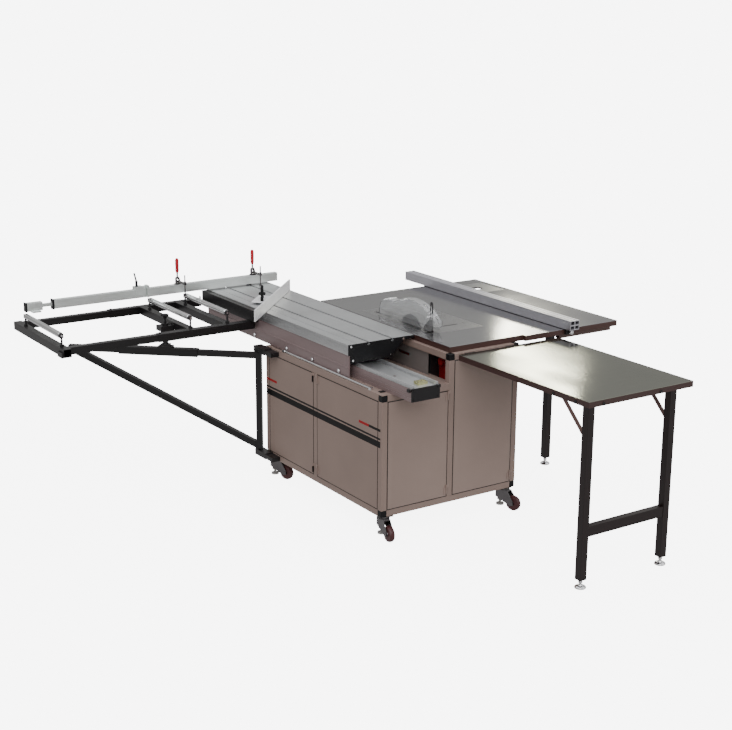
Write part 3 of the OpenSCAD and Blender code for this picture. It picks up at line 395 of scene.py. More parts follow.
@dataclass(frozen=True)
class Moulded:
    """Moulded plastic or rubber with a fine grain."""

    name: str
    colour: Colour
    rough: float = 0.5
    grain: float = 0.3
    coat: float = 0.0
    gloss: float = 0.35

    def build(self) -> bpy.types.Material:
        """Makes the material."""
        sheet = Sheet(self.name)
        sheet.set(Coat_Weight=self.coat, Coat_Roughness=0.1, Specular_IOR_Level=self.gloss)
        pits = sheet.noise(1500, 2)
        cloud = sheet.noise(12, 4)
        sheet.paint(sheet.mix(cloud, shade(self.colour, 0.8), shade(self.colour, 1.25)))
        sheet.roughness(sheet.span(cloud, 0.3, 0.7, self.rough - 0.05, self.rough + 0.1))
        sheet.relief(pits, self.grain, 0.0003)
        return sheet.material


@dataclass(frozen=True)
class ClearSheet:
    """Clear bent plastic, a little milky where it is handled."""

    name: str
    colour: Colour
    haze: float = 0.06

    def build(self) -> bpy.types.Material:
        """Makes the material."""
        sheet = Sheet(self.name)
        sheet.set(IOR=1.49, Transmission_Weight=0.95, Coat_Weight=0.6, Coat_Roughness=0.03)
        cloud = sheet.noise(9, 4)
        sheet.paint(sheet.mix(cloud, shade(self.colour, 0.94), self.colour))
        sheet.roughness(sheet.span(cloud, 0.3, 0.7, 0.01, self.haze))
        sheet.relief(sheet.noise(6, 2), 0.1, 0.002)
        return sheet.material


BLACK_INK: Colour = (0.004, 0.0035, 0.004)
RED_INK: Colour = (0.32, 0.008, 0.010)
SIDE_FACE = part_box("door_side_a")[0].x + 0.009
SIDE_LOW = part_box("cabinet_frame")[0]
SIDE_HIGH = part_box("cabinet_frame")[1]
SIDE_STRIPES = (
    Stripe((SIDE_LOW.y + 0.011, SIDE_HIGH.y), (0.440, 0.470), BLACK_INK),
    Stripe((SIDE_LOW.y + 0.011, SIDE_HIGH.y), (0.477, 0.486), BLACK_INK),
    Stripe((SIDE_HIGH.y - 0.105, SIDE_HIGH.y), (0.514, 0.526), RED_INK),
    Stripe((SIDE_LOW.y + 0.105, SIDE_LOW.y + 0.187), (0.516, 0.528), RED_INK),
    Stripe((SIDE_LOW.y + 0.011, SIDE_LOW.y + 0.105), (0.516, 0.528), BLACK_INK),
)
TAUPE: Colour = (0.30, 0.222, 0.192)


SLOTS = {
    "CABINET": "frame_paint", "REAR_DOOR": "frame_paint", "CABINET_SIDE": "frame_paint",
    "SEAM": "frame_paint", "ROSE": "rose_paint", "BLACK_PAINT": "black_metal",
    "BROWN_BLACK": "black_metal", "DARK_STEEL": "dark_steel", "BLADE": "dark_steel", "RED": "red_paint",
    "BROWN": "dark_steel", "BLACK_PLASTIC": "black_plastic", "RUBBER": "black_plastic",
    "MAROON": "maroon", "PAD_GREY": "bright_steel", "RED_GRIP": "red_grip", "ALLOY": "alloy",
    "ALLOY_X": "alloy", "RIP_ALLOY": "alloy", "PLATE": "bright_steel", "WALL": "frame_paint",
    "STEEL": "steel", "MAIN_TOP": "steel", "BACK_TOP": "steel", "CLEAR": "clear",
}


class Coat(Enum):
    """Every finish on the saw."""

    CABINET = PowderCoat("taupe_paint", TAUPE, 0.38, 0.2)
    # The doors' outlines carry painted shade: a dark line round each, as if its gap to the frame were in
    # shadow.
    REAR_DOOR = PowderCoat("taupe_paint_rear", TAUPE, 0.38, 0.2,
                           panels=(Panel.of("door_rear_low", "X"), Panel.of("door_rear_tall", "X")))
    CABINET_SIDE = StripedPaint("taupe_paint_striped", shade(TAUPE, 0.9), 0.42, 0.1, coat=0.0, gloss=0.2,
                                face_x=SIDE_FACE, stripes=SIDE_STRIPES,
                                panels=(Panel.of("door_side_a", "Y"), Panel.of("door_side_b", "Y")))
    # Painted shade for softened edges: they are drawn near-black as if in the shadow of a gap.
    SEAM = PowderCoat("painted_gap_shade", GAP_SHADE_INK, 0.7, coat=0.0, gloss=0.1)
    ROSE = PowderCoat("rose_grey_paint", (0.24, 0.175, 0.175), 0.38, 0.35)
    BLACK_PAINT = PowderCoat("black_paint", (0.007, 0.0062, 0.007), 0.34, coat=0.0, gloss=0.45)
    BROWN_BLACK = PowderCoat("brown_black_paint", (0.011, 0.0058, 0.0058), 0.36, coat=0.0, gloss=0.4)
    DARK_STEEL = PowderCoat("dark_steel", (0.035, 0.033, 0.035), 0.38, 0.6)
    WALL = PowderCoat("shadow_grey_paint", (0.16, 0.14, 0.135), 0.5, 0.1)
    RED = PowderCoat("red_paint", (0.30, 0.010, 0.012), 0.35, coat=0.3)
    BROWN = PowderCoat("brown_paint", (0.10, 0.05, 0.042), 0.4)
    BLACK_PLASTIC = Moulded("black_plastic", (0.005, 0.005, 0.006), 0.42, gloss=0.25)
    RUBBER = Moulded("black_rubber", (0.008, 0.0075, 0.0075), 0.7, 0.5, gloss=0.2)
    MAROON = Moulded("maroon_tyre", (0.055, 0.012, 0.014), 0.42, 0.3, gloss=0.5)
    PAD_GREY = Moulded("grey_pad", (0.28, 0.27, 0.26), 0.6, 0.3)
    RED_GRIP = Moulded("red_grip", (0.46, 0.006, 0.018), 0.28, 0.15, coat=0.3)
    ALLOY = BrushedMetal("drawn_alloy", (0.60, 0.61, 0.615), 0.34)
    ALLOY_X = BrushedMetal("drawn_alloy_across", (0.84, 0.88, 0.86), 0.36, (0.02, 1, 1), metallic=0.85)
    PLATE = BrushedMetal("bright_plate", (0.92, 0.92, 0.94), 0.42, (0.03, 0.03, 1), metallic=0.6)
    RIP_ALLOY = BrushedMetal("lavender_alloy", (0.60, 0.595, 0.64), 0.4)
    STEEL = BrushedMetal("brushed_steel", (0.36, 0.355, 0.36), 0.28)
    ZINC = PolishedMetal("bright_zinc", (0.17, 0.16, 0.165), 0.16)
    CHROME = PolishedMetal("chrome", (0.80, 0.80, 0.81), 0.07)
    PASSIVATED = PolishedMetal("yellow_zinc", (0.62, 0.60, 0.33), 0.2)
    BLADE = BrushedMetal("blade_steel", (0.16, 0.16, 0.17), 0.3, (1, 1, 1))
    CLEAR = ClearSheet("clear_guard", (0.95, 0.955, 0.96))
    MAIN_TOP = TableTop("steel_skinned_board", (0.40, 0.395, 0.41), (0.050, 0.020, 0.016), 0.8484)
    BACK_TOP = TableTop("steel_skinned_rear_board", (0.23, 0.23, 0.19), (0.045, 0.020, 0.018), 0.8204, 0.10)

    @property
    def slot(self) -> str:
        """The record's material slot that this finish stands for."""
        return SLOTS.get(self.name, "bright_steel")

    @cached_property
    def material(self) -> bpy.types.Material:
        """The finish's material, made once."""
        return self.value.build()


# ---------------------------------------------------------------- solids of the frame
@dataclass(frozen=True)
class Solid:
    """One closed solid of a node, by its box."""

    low: Vector
    high: Vector

    @property
    def mid(self) -> Vector:
        """The middle of its box."""
        return (self.low + self.high) / 2

    @property
    def size(self) -> Vector:
        """The sides of its box."""
        return self.high - self.low


Test = Callable[[Solid], bool]


@dataclass(frozen=True)
class Patch:
    """The finish of the solids that pass a test, or of their faces that look up."""

    coat: Coat
    test: Test
    top_only: bool = False


def islands(mesh: bmesh.types.BMesh) -> list[tuple[Solid, list[bmesh.types.BMFace]]]:
    """The separate solids of a merged mesh, each with its faces."""
    seen: set[bmesh.types.BMFace] = set()
    found = []
    for start in mesh.faces:
        if start in seen:
            continue
        seen.add(start)
        group, open_faces = [], [start]
        while open_faces:
            face = open_faces.pop()
            group.append(face)
            for edge in face.edges:
                for other in edge.link_faces:
                    if other not in seen:
                        seen.add(other)
                        open_faces.append(other)
        points = [v.co for f in group for v in f.verts]
        low = Vector(min(p[i] for p in points) for i in range(3))
        high = Vector(max(p[i] for p in points) for i in range(3))
        found.append((Solid(low, high), group))
    return found


def solids_of(node: str) -> list[Solid]:
    """The boxes of a node's solids, largest first."""
    mesh = bmesh.new()
    mesh.from_mesh(frame["nodes"][node].data)
    bmesh.ops.remove_doubles(mesh, verts=mesh.verts, dist=2e-6)
    found = [solid for solid, _ in islands(mesh)]
    mesh.free()
    return sorted(found, key=lambda s: -s.size.x * s.size.y * s.size.z)


def link_piece(name: str, data: bpy.types.Mesh) -> bpy.types.Object:
    """Puts a mesh into the scene as an object at the origin."""
    piece = bpy.data.objects.new(name, data)
    bpy.context.scene.collection.objects.link(piece)
    return piece


def settle(piece: bpy.types.Object) -> None:
    """Turns a piece's modifiers into plain mesh."""
    graph = bpy.context.evaluated_depsgraph_get()
    data = bpy.data.meshes.new_from_object(piece.evaluated_get(graph))
    piece.modifiers.clear()
    piece.data = data


def mark_sharp(mesh: bmesh.types.BMesh, degrees: float = 32) -> None:
    """Smooth faces, with a hard edge wherever two meet at more than an angle."""
    limit = math.radians(degrees)
    for face in mesh.faces:
        face.smooth = True
    for edge in mesh.edges:
        edge.smooth = len(edge.link_faces) == 2 and edge.calc_face_angle(0) < limit


def dress(node: str, coat: Coat, patches: Sequence[Patch] = (), bevel: float = 0.0008,
          shaded_edge: Coat | None = None, keep: Test = lambda s: True) -> bpy.types.Object:
    """Gives a node's solids their finishes and softened edges, as a piece that stands for it.

    Args:
        node: the node of the frame.
        coat: the finish of every solid that no patch takes.
        patches: finishes of some solids or of their tops; a later one wins.
        bevel: width of the softened edges, in metres.
        shaded_edge: the finish of the softened edges themselves, where it differs; a dark one is painted
            shade, as if the edge were the shadow of a gap.
        keep: which of the node's solids are dressed; the others get a piece of their own elsewhere.

    Returns:
        The dressed piece.
    """
    source = frame["nodes"][node]
    mesh = bmesh.new()
    mesh.from_mesh(source.data)
    bmesh.ops.remove_doubles(mesh, verts=mesh.verts, dist=2e-6)
    coats = [coat, *dict.fromkeys(p.coat for p in patches if p.coat is not coat)]
    dropped = []
    for solid, faces in islands(mesh):
        if not keep(solid):
            dropped += faces
            continue
        for patch in patches:
            if patch.test(solid):
                index = coats.index(patch.coat)
                for face in faces:
                    if not patch.top_only or face.normal.z > 0.9:
                        face.material_index = index
    bmesh.ops.delete(mesh, geom=dropped, context="FACES")
    flat = math.radians(0.4)
    bmesh.ops.dissolve_limit(mesh, angle_limit=flat, verts=mesh.verts, edges=mesh.edges, delimit={"MATERIAL"})
    mark_sharp(mesh)
    data = bpy.data.meshes.new(node + "_dressed")
    mesh.to_mesh(data)
    mesh.free()
    for each in (*coats, *([shaded_edge] if shaded_edge else [])):
        data.materials.append(each.material)
    piece = link_piece(node + "_dressed", data)
    if bevel > 0:
        made = piece.modifiers.new("edges", "BEVEL")
        made.width, made.segments, made.limit_method = bevel, 2, "ANGLE"
        made.angle_limit, made.use_clamp_overlap, made.harden_normals = math.radians(40), True, True
        # a dark finish here puts painted shade on the bevel's faces
        if shaded_edge:
            made.material = len(coats)
        settle(piece)
    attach(piece, source["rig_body"])
    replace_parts(piece, node)
    LOG.info("%s: %d faces", piece.name, len(piece.data.polygons))
    return piece


# ---------------------------------------------------------------- new pieces
def finish_piece(name: str, mesh: bmesh.types.BMesh, coats: Sequence[Coat], body: str,
                 bevel: float = 0.0) -> bpy.types.Object:
    """Makes an object of a mesh, softens it and lets it ride on a body.

    Args:
        name: the piece's name.
        mesh: its shape; it is freed.
        coats: its finishes, in the order of the faces' material numbers.
        body: the body it rides on.
        bevel: width of its softened edges.

    Returns:
        The finished piece.
    """
    bmesh.ops.recalc_face_normals(mesh, faces=mesh.faces)
    mark_sharp(mesh)
    data = bpy.data.meshes.new(name)
    mesh.to_mesh(data)
    mesh.free()
    for coat in coats:
        data.materials.append(coat.material)
    piece = link_piece(name, data)
    if bevel > 0:
        made = piece.modifiers.new("edges", "BEVEL")
        made.width, made.segments, made.limit_method = bevel, 2, "ANGLE"
        made.angle_limit, made.harden_normals = math.radians(35), True
        settle(piece)
    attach(piece, body)
    LOG.info("%s: %d faces", name, len(piece.data.polygons))
    return piece


def turned(mesh: bmesh.types.BMesh, profile: Sequence[tuple[float, float]], place: Vector,
           axis: Matrix, steps: int = 48, coat: int = 0) -> None:
    """Adds a turned shape to a mesh.

    Args:
        mesh: what it is added to.
        profile: radius and height of each ring, from one end to the other.
        place: where height 0 stands.
        axis: the turn that takes +Z to the shape's axis.
        steps: faces round it.
        coat: the faces' material number.
    """
    rings = []
    for radius, height in profile:
        if radius < 1e-6:
            rings.append([mesh.verts.new(place + axis @ Vector((0, 0, height)))])
            continue
        angles = [math.tau * i / steps for i in range(steps)]
        points = [Vector((radius * math.cos(a), radius * math.sin(a), height)) for a in angles]
        rings.append([mesh.verts.new(place + axis @ point) for point in points])
    for low, high in zip(rings, rings[1:]):
        for i in range(steps):
            corners = [low[i % len(low)], low[(i + 1) % len(low)],
                       high[(i + 1) % len(high)], high[i % len(high)]]
            unique = list(dict.fromkeys(corners))
            if len(unique) > 2:
                mesh.faces.new(unique).material_index = coat
    for ring in (rings[0], rings[-1]):
        if len(ring) > 1:
            mesh.faces.new(ring).material_index = coat


def block(mesh: bmesh.types.BMesh, low: Sequence[float], high: Sequence[float], turn: Matrix | None = None,
          coat: int = 0) -> None:
    """Adds a box between two corners, turned about the frame's origin if asked."""
    turn = turn or Matrix.Identity(4)
    corners = [mesh.verts.new(turn @ Vector((x, y, z))) for x in (low[0], high[0])
               for y in (low[1], high[1]) for z in (low[2], high[2])]
    for quad in ((0, 1, 3, 2), (4, 6, 7, 5), (0, 4, 5, 1), (2, 3, 7, 6), (0, 2, 6, 4), (1, 5, 7, 3)):
        mesh.faces.new([corners[i] for i in quad]).material_index = coat


@dataclass(frozen=True)
class HeadTree:
    """A node tree that puts a screw head on each vertex of a mesh."""

    name: str
    radius: float
    height: float
    sides: int
    coat: Coat
    socket: float = 0.45

    def build(self) -> bpy.types.GeometryNodeTree:
        """Makes the tree, with inputs for the head's radius, height, sides and turn."""
        tree = bpy.data.node_groups.new(self.name, "GeometryNodeTree")
        face = tree.interface
        face.new_socket("Geometry", in_out="INPUT", socket_type="NodeSocketGeometry")
        face.new_socket("Radius", in_out="INPUT", socket_type="NodeSocketFloat").default_value = self.radius
        face.new_socket("Height", in_out="INPUT", socket_type="NodeSocketFloat").default_value = self.height
        face.new_socket("Sides", in_out="INPUT", socket_type="NodeSocketInt").default_value = self.sides
        face.new_socket("Turn", in_out="INPUT", socket_type="NodeSocketRotation")
        face.new_socket("Geometry", in_out="OUTPUT", socket_type="NodeSocketGeometry")
        nodes, link = tree.nodes, tree.links.new
        given, result = nodes.new("NodeGroupInput"), nodes.new("NodeGroupOutput")
        head, washer = nodes.new("GeometryNodeMeshCylinder"), nodes.new("GeometryNodeMeshCylinder")
        washer.inputs["Vertices"].default_value = 20
        wide, thin = nodes.new("ShaderNodeMath"), nodes.new("ShaderNodeMath")
        wide.operation = thin.operation = "MULTIPLY"
        wide.inputs[1].default_value, thin.inputs[1].default_value = 1.3, 0.35
        link(given.outputs["Radius"], wide.inputs[0])
        link(given.outputs["Height"], thin.inputs[0])
        link(given.outputs["Sides"], head.inputs["Vertices"])
        link(given.outputs["Radius"], head.inputs["Radius"])
        link(given.outputs["Height"], head.inputs["Depth"])
        link(wide.outputs[0], washer.inputs["Radius"])
        link(thin.outputs[0], washer.inputs["Depth"])
        join, spread = nodes.new("GeometryNodeJoinGeometry"), nodes.new("GeometryNodeInstanceOnPoints")
        link(head.outputs["Mesh"], join.inputs[0])
        link(washer.outputs["Mesh"], join.inputs[0])
        link(given.outputs["Geometry"], spread.inputs["Points"])
        link(join.outputs[0], spread.inputs["Instance"])
        link(given.outputs["Turn"], spread.inputs["Rotation"])
        real, coat = nodes.new("GeometryNodeRealizeInstances"), nodes.new("GeometryNodeSetMaterial")
        coat.inputs["Material"].default_value = self.coat.material
        link(spread.outputs[0], real.inputs[0])
        link(real.outputs[0], coat.inputs["Geometry"])
        link(coat.outputs[0], result.inputs[0])
        return tree


@dataclass(frozen=True)
class RibTree:
    """A node tree that stacks round ribs along the line from each vertex."""

    name: str
    radius: float
    thick: float
    pitch: float
    count: int
    coat: Coat

    def build(self) -> bpy.types.GeometryNodeTree:
        """Makes the tree, with inputs for the ribs' radius, thickness, pitch, count and turn."""
        tree = bpy.data.node_groups.new(self.name, "GeometryNodeTree")
        face = tree.interface
        face.new_socket("Geometry", in_out="INPUT", socket_type="NodeSocketGeometry")
        for label, value in (("Radius", self.radius), ("Thickness", self.thick), ("Pitch", self.pitch)):
            face.new_socket(label, in_out="INPUT", socket_type="NodeSocketFloat").default_value = value
        face.new_socket("Count", in_out="INPUT", socket_type="NodeSocketInt").default_value = self.count
        face.new_socket("Turn", in_out="INPUT", socket_type="NodeSocketRotation")
        face.new_socket("Geometry", in_out="OUTPUT", socket_type="NodeSocketGeometry")
        nodes, link = tree.nodes, tree.links.new
        given, result = nodes.new("NodeGroupInput"), nodes.new("NodeGroupOutput")
        ring = nodes.new("GeometryNodeCurvePrimitiveCircle")
        edge = nodes.new("GeometryNodeCurvePrimitiveCircle")
        ring.inputs["Resolution"].default_value, edge.inputs["Resolution"].default_value = 32, 8
        tube = nodes.new("GeometryNodeCurveToMesh")
        link(given.outputs["Radius"], ring.inputs["Radius"])
        link(given.outputs["Thickness"], edge.inputs["Radius"])
        link(ring.outputs[0], tube.inputs["Curve"])
        link(edge.outputs[0], tube.inputs["Profile Curve"])
        line, step = nodes.new("GeometryNodeMeshLine"), nodes.new("ShaderNodeCombineXYZ")
        link(given.outputs["Pitch"], step.inputs["Z"])
        link(given.outputs["Count"], line.inputs["Count"])
        link(step.outputs[0], line.inputs["Offset"])
        stack, spread = nodes.new("GeometryNodeInstanceOnPoints"), nodes.new("GeometryNodeInstanceOnPoints")
        link(line.outputs[0], stack.inputs["Points"])
        link(tube.outputs[0], stack.inputs["Instance"])
        link(given.outputs["Geometry"], spread.inputs["Points"])
        link(stack.outputs[0], spread.inputs["Instance"])
        link(given.outputs["Turn"], spread.inputs["Rotation"])
        real, coat = nodes.new("GeometryNodeRealizeInstances"), nodes.new("GeometryNodeSetMaterial")
        coat.inputs["Material"].default_value = self.coat.material
        link(spread.outputs[0], real.inputs[0])
        link(real.outputs[0], coat.inputs["Geometry"])
        link(coat.outputs[0], result.inputs[0])
        return tree


def scatter(name: str, tree: HeadTree | RibTree, points: Sequence[Vector], axis: Axis, body: str,
            smooth: bool = False) -> bpy.types.Object:
    """Runs a node tree on a set of points and keeps the result as a plain mesh.

    Args:
        name: the piece's name.
        tree: what stands on each point.
        points: where they stand.
        axis: the direction that each one's +Z takes.
        body: the body it rides on.
        smooth: whether its faces are shaded smooth.

    Returns:
        The finished piece.
    """
    data = bpy.data.meshes.new(name)
    data.from_pydata([tuple(p) for p in points], [], [])
    piece = link_piece(name, data)
    group = tree.build()
    modifier = piece.modifiers.new("spread", "NODES")
    modifier.node_group = group
    turn = next(s for s in group.interface.items_tree if s.name == "Turn")
    modifier[turn.identifier] = axis.turn.to_euler()
    settle(piece)
    for polygon in piece.data.polygons:
        polygon.use_smooth = smooth
    if not piece.data.materials:
        piece.data.materials.append(tree.coat.material)
    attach(piece, body)
    LOG.info("%s: %d faces", name, len(piece.data.polygons))
    return piece


# ---------------------------------------------------------------- sub-assemblies
@dataclass
class Cabinet:
    """The wheeled cabinet: frame, corner blocks, doors, wall and hinge blocks."""

    edge: float = 0.0008

    def build(self) -> None:
        """Dresses the frame, panels and doors."""
        dress("cabinet_frame", Coat.CABINET_SIDE, bevel=0.003)
        dress("frame_corners", Coat.BLACK_PLASTIC, bevel=0.0035)
        wall: Test = lambda s: s.size.x < 0.004 and s.low.z > 0.6
        dress("cabinet_panels", Coat.CABINET, [Patch(Coat.WALL, wall)])
        for node in ("door_rear_low", "door_rear_tall"):
            dress(node, Coat.REAR_DOOR, bevel=self.edge)
        for node in ("door_side_a", "door_side_b"):
            dress(node, Coat.CABINET_SIDE, bevel=self.edge)
        dress("swing_blocks", Coat.BLACK_PAINT, bevel=0.002)
        dress("saw_column", Coat.DARK_STEEL, bevel=0.002)


@dataclass
class Castor:
    """A swivel castor with a two-part wheel, its stamped fork and its jacking pad."""

    number: int
    tread: float = 0.0375
    half: float = 0.012

    def wheel_profile(self) -> list[tuple[float, float]]:
        """The tyre's section: a crowned tread between two flat sides."""
        crown = [(self.tread - 0.0035 * (abs(t) ** 2.5), self.half * t)
                 for t in (-1, -0.8, -0.4, 0, 0.4, 0.8, 1)]
        return [(0.026, -self.half), *crown, (0.026, self.half)]

    def build(self) -> None:
        """Dresses the fork and turns the wheel."""
        pad: Test = lambda s: s.low.z < 0.016 and s.size.z > 0.06
        dress(f"fork_{self.number}", Coat.ZINC, [Patch(Coat.PAD_GREY, pad)], bevel=0.0008)
        node = f"wheel_{self.number}"
        joint = next(j for j in frame["joints"] if j["name"] == f"{node}_spin")
        middle, axis = Vector(joint["pos_m"]), Vector(joint["axis"])
        turn = axis.to_track_quat("Z", "Y").to_matrix().to_4x4()
        mesh = bmesh.new()
        turned(mesh, self.wheel_profile(), middle, turn, 64, 0)
        hub = [(0.0265, -0.0085), (0.0235, -0.0095), (0.012, -0.0085), (0.0105, -0.0148), (0.0065, -0.0148),
               (0.0065, 0.0148), (0.0105, 0.0148), (0.012, 0.0085), (0.0235, 0.0095), (0.0265, 0.0085)]
        turned(mesh, hub, middle, turn, 48, 1)
        piece = finish_piece(f"{node}_turned", mesh, (Coat.MAROON, Coat.ZINC), node)
        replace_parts(piece, node)


@dataclass
class Tables:
    """Main table, extension, rear support table, their legs, inserts and feet."""

    screw: HeadTree = field(default_factory=lambda: HeadTree("countersunk", 0.0042, 0.0009, 24, Coat.CHROME))

    def build(self) -> None:
        """Dresses the tops and legs and turns the feet."""
        dress("main_table", Coat.MAIN_TOP, bevel=0.0006)
        dress("extension_table", Coat.MAIN_TOP, bevel=0.0006)
        dress("support_table", Coat.BACK_TOP, bevel=0.0012)
        # painted shade: the inserts' softened edges are drawn near-black, as the shadow in their gap to the
        # table
        dress("table_inserts", Coat.STEEL, bevel=0.0012, shaded_edge=Coat.SEAM)
        dress("support_fittings", Coat.BLACK_PAINT, bevel=0.0006)
        stay: Test = lambda s: s.size.x < 0.006 and s.size.z > 0.05
        rail: Test = lambda s: s.size.x > 0.3 and s.low.z > 0.7
        patches = [Patch(Coat.BROWN, stay), Patch(Coat.BROWN, rail)]
        dress("table_legs", Coat.BROWN_BLACK, patches, bevel=0.0015)
        dress("castor_plates", Coat.ZINC)
        self.feet()
        self.insert_screws()

    def feet(self) -> None:
        """Turns the domed feet on their studs, with a lock nut and the leg's plug over each."""
        solids = solids_of("levelling_feet")
        mesh = bmesh.new()
        for solid in (s for s in solids if s.low.z < 0.01):
            base = Vector((solid.mid.x, solid.mid.y, 0))
            dome = [(0.0, 0.0), (0.0235, 0.0), (0.025, 0.0018), (0.025, 0.0055), (0.0225, 0.0085),
                    (0.0175, 0.0115), (0.0125, 0.0132), (0.0105, 0.0165), (0.005, 0.0175),
                    (0.005, 0.066), (0, 0.066)]
            turned(mesh, dome, base, Matrix.Identity(4), 40, 0)
            nut = [(0, 0.024), (0.0095, 0.024), (0.0095, 0.031), (0, 0.031)]
            turned(mesh, nut, base, Matrix.Identity(4), 6, 0)
        for solid in (s for s in solids if s.low.z >= 0.01):
            wide = solid.size.x / 2
            block(mesh, (solid.mid.x - wide, solid.mid.y - wide, 0.039),
                  (solid.mid.x + wide, solid.mid.y + wide, 0.042), coat=1)
        piece = finish_piece("levelling_feet_turned", mesh, (Coat.CHROME, Coat.BLACK_PLASTIC), "base", 0.0004)
        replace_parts(piece, "levelling_feet")

    def insert_screws(self) -> None:
        """Sets countersunk screws into the recesses of the insert and router plates."""
        plates = solids_of("table_inserts")
        insert, router = plates[0], plates[1]
        top, edge = insert.high.z - 0.0008, 0.012
        rear, x = insert.low.y + 0.015, insert.low.x
        spots = [(x + 0.020, rear), (x + 0.077, rear), (x + 0.164, rear), (insert.high.x - 0.020, rear),
                 (x + 0.072, insert.high.y - 0.036), (insert.high.x - 0.020, insert.high.y - 0.016)]
        spots += [(router.low.x + edge, router.low.y + edge), (router.high.x - edge, router.low.y + edge),
                  (router.low.x + edge, router.high.y - edge), (router.high.x - edge, router.high.y - edge)]
        scatter("insert_screws", self.screw, [Vector((px, py, top)) for px, py in spots], Axis.Z, "base")


@dataclass
class Beam:
    """The fixed guide beam, its tracks, end fittings and the push rod."""

    def build(self) -> None:
        """Dresses the beam with a bright top and painted sides."""
        body: Test = lambda s: True
        dress("guide_beam", Coat.ROSE, [Patch(Coat.ALLOY, body, top_only=True)], bevel=0.0012)
        dress("beam_tracks", Coat.ALLOY, bevel=0.001)
        stop: Test = lambda s: 0.045 < s.size.x < 0.055 and s.size.z < 0.02
        head: Test = lambda s: s.size.x < 0.013 and s.size.y < 0.004
        patches = [Patch(Coat.PASSIVATED, stop), Patch(Coat.CHROME, head)]
        dress("beam_fittings", Coat.BLACK_PAINT, patches, bevel=0.001)
        rod: Test = lambda s: s.size.y > 0.5
        dress("push_rod", Coat.BLACK_PLASTIC, [Patch(Coat.CHROME, rod)], bevel=0.001)


@dataclass
class Carriage:
    """The sliding carriage with its skirt and bolts."""

    washer: HeadTree = field(default_factory=lambda: HeadTree("skirt_bolt", 0.0072, 0.0046, 6, Coat.CHROME))
    screw: HeadTree = field(default_factory=lambda: HeadTree("end_screw", 0.0042, 0.0016, 24, Coat.CHROME))

    def build(self) -> None:
        """Dresses the extrusion, its end plates and its skirt."""
        dress("carriage_deck", Coat.ALLOY, bevel=0.0008)
        head: Test = lambda s: s.size.x < 0.012
        dress("carriage_ends", Coat.BLACK_PLASTIC, [Patch(Coat.CHROME, head)], bevel=0.0003)
        self.screws()
        keeper: Test = lambda s: s.size.z < 0.03
        dress("carriage_skirt", Coat.ROSE, [Patch(Coat.DARK_STEEL, keeper)], bevel=0.0008)
        seat: Test = lambda s: s.size.y > 0.03
        dress("carriage_bolts", Coat.ZINC, [Patch(Coat.DARK_STEEL, seat)], bevel=0.0006)

    def screws(self) -> None:
        """Sets screws into the rear end plate and hex heads along the skirt."""
        low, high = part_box("carriage_ends")
        face = low.y + 0.0006
        spots = [(low.x + 0.012, high.z - 0.009), (high.x - 0.062, high.z - 0.009),
                 (high.x - 0.132, low.z + 0.012), (low.x + 0.022, low.z + 0.012)]
        points = [Vector((x, face, z)) for x, z in spots]
        scatter("end_plate_screws", self.screw, points, Axis.BACK_Y, "carriage")
        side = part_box("carriage_skirt")[0]
        heads = [s.mid for s in solids_of("carriage_bolts") if s.low.x < side.x and s.size.y < 0.03]
        points = [Vector((side.x - 0.0026, m.y, m.z)) for m in heads]
        scatter("skirt_hex_heads", self.washer, points, Axis.BACK_X, "carriage")


@dataclass
class Outrigger:
    """The outrigger frame, its sliding end and its three rollers."""

    roll: float = 0.014

    def roller(self, number: int) -> None:
        """Turns one roller with stepped ends."""
        node = f"roller_{number}"
        low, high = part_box(node)
        middle, stub = (low + high) / 2, 0.014
        length = high.y - low.y
        r = self.roll
        profile = [(0, 0), (0.005, 0), (0.005, stub), (0.0105, stub), (0.0105, stub + 0.004),
                   (r - 0.0012, stub + 0.004),
                   (r, stub + 0.0055), (r, length - stub - 0.0055), (r - 0.0012, length - stub - 0.004),
                   (0.0105, length - stub - 0.004), (0.0105, length - stub), (0.005, length - stub),
                   (0.005, length),
                   (0, length)]
        mesh = bmesh.new()
        turned(mesh, profile, Vector((middle.x, low.y, middle.z)), Axis.Y.turn, 48)
        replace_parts(finish_piece(f"{node}_turned", mesh, (Coat.CHROME,), node), node)

    def build(self) -> None:
        """Dresses the tubes and turns the rollers."""
        dress("outrigger_frame", Coat.BLACK_PAINT, bevel=0.003)
        dress("outrigger_slide", Coat.BLACK_PAINT, bevel=0.0025)
        clamp: Test = lambda s: s.size.x > 0.05
        dress("outrigger_stands", Coat.DARK_STEEL, [Patch(Coat.BLACK_PAINT, clamp)], bevel=0.0008)
        for number in (1, 2, 3):
            self.roller(number)
        pin = min((s for s in solids_of("outrigger_stands") if s.size.x > 0.05), key=lambda s: s.high.z)
        mesh = bmesh.new()
        middle = Vector((pin.low.x + 0.037, pin.mid.y, pin.high.z))
        stem = [(0, -0.001), (0.004, -0.001), (0.004, 0.022), (0, 0.022)]
        turned(mesh, stem, middle, Matrix.Identity(4), 24)
        lobed_knob(mesh, middle + Vector((0, 0, 0.012)), 0.021, 0.024)
        finish_piece("pin_knob", mesh, (Coat.BLACK_PLASTIC,), "carriage")


@dataclass
class SwingArm:
    """The swinging support arm with its sliding sleeve."""

    def build(self) -> None:
        """Dresses the arm and its sleeve."""
        dress("swing_arm", Coat.BLACK_PAINT, bevel=0.0025)
        dress("swing_sleeve", Coat.BLACK_PAINT, bevel=0.0025)


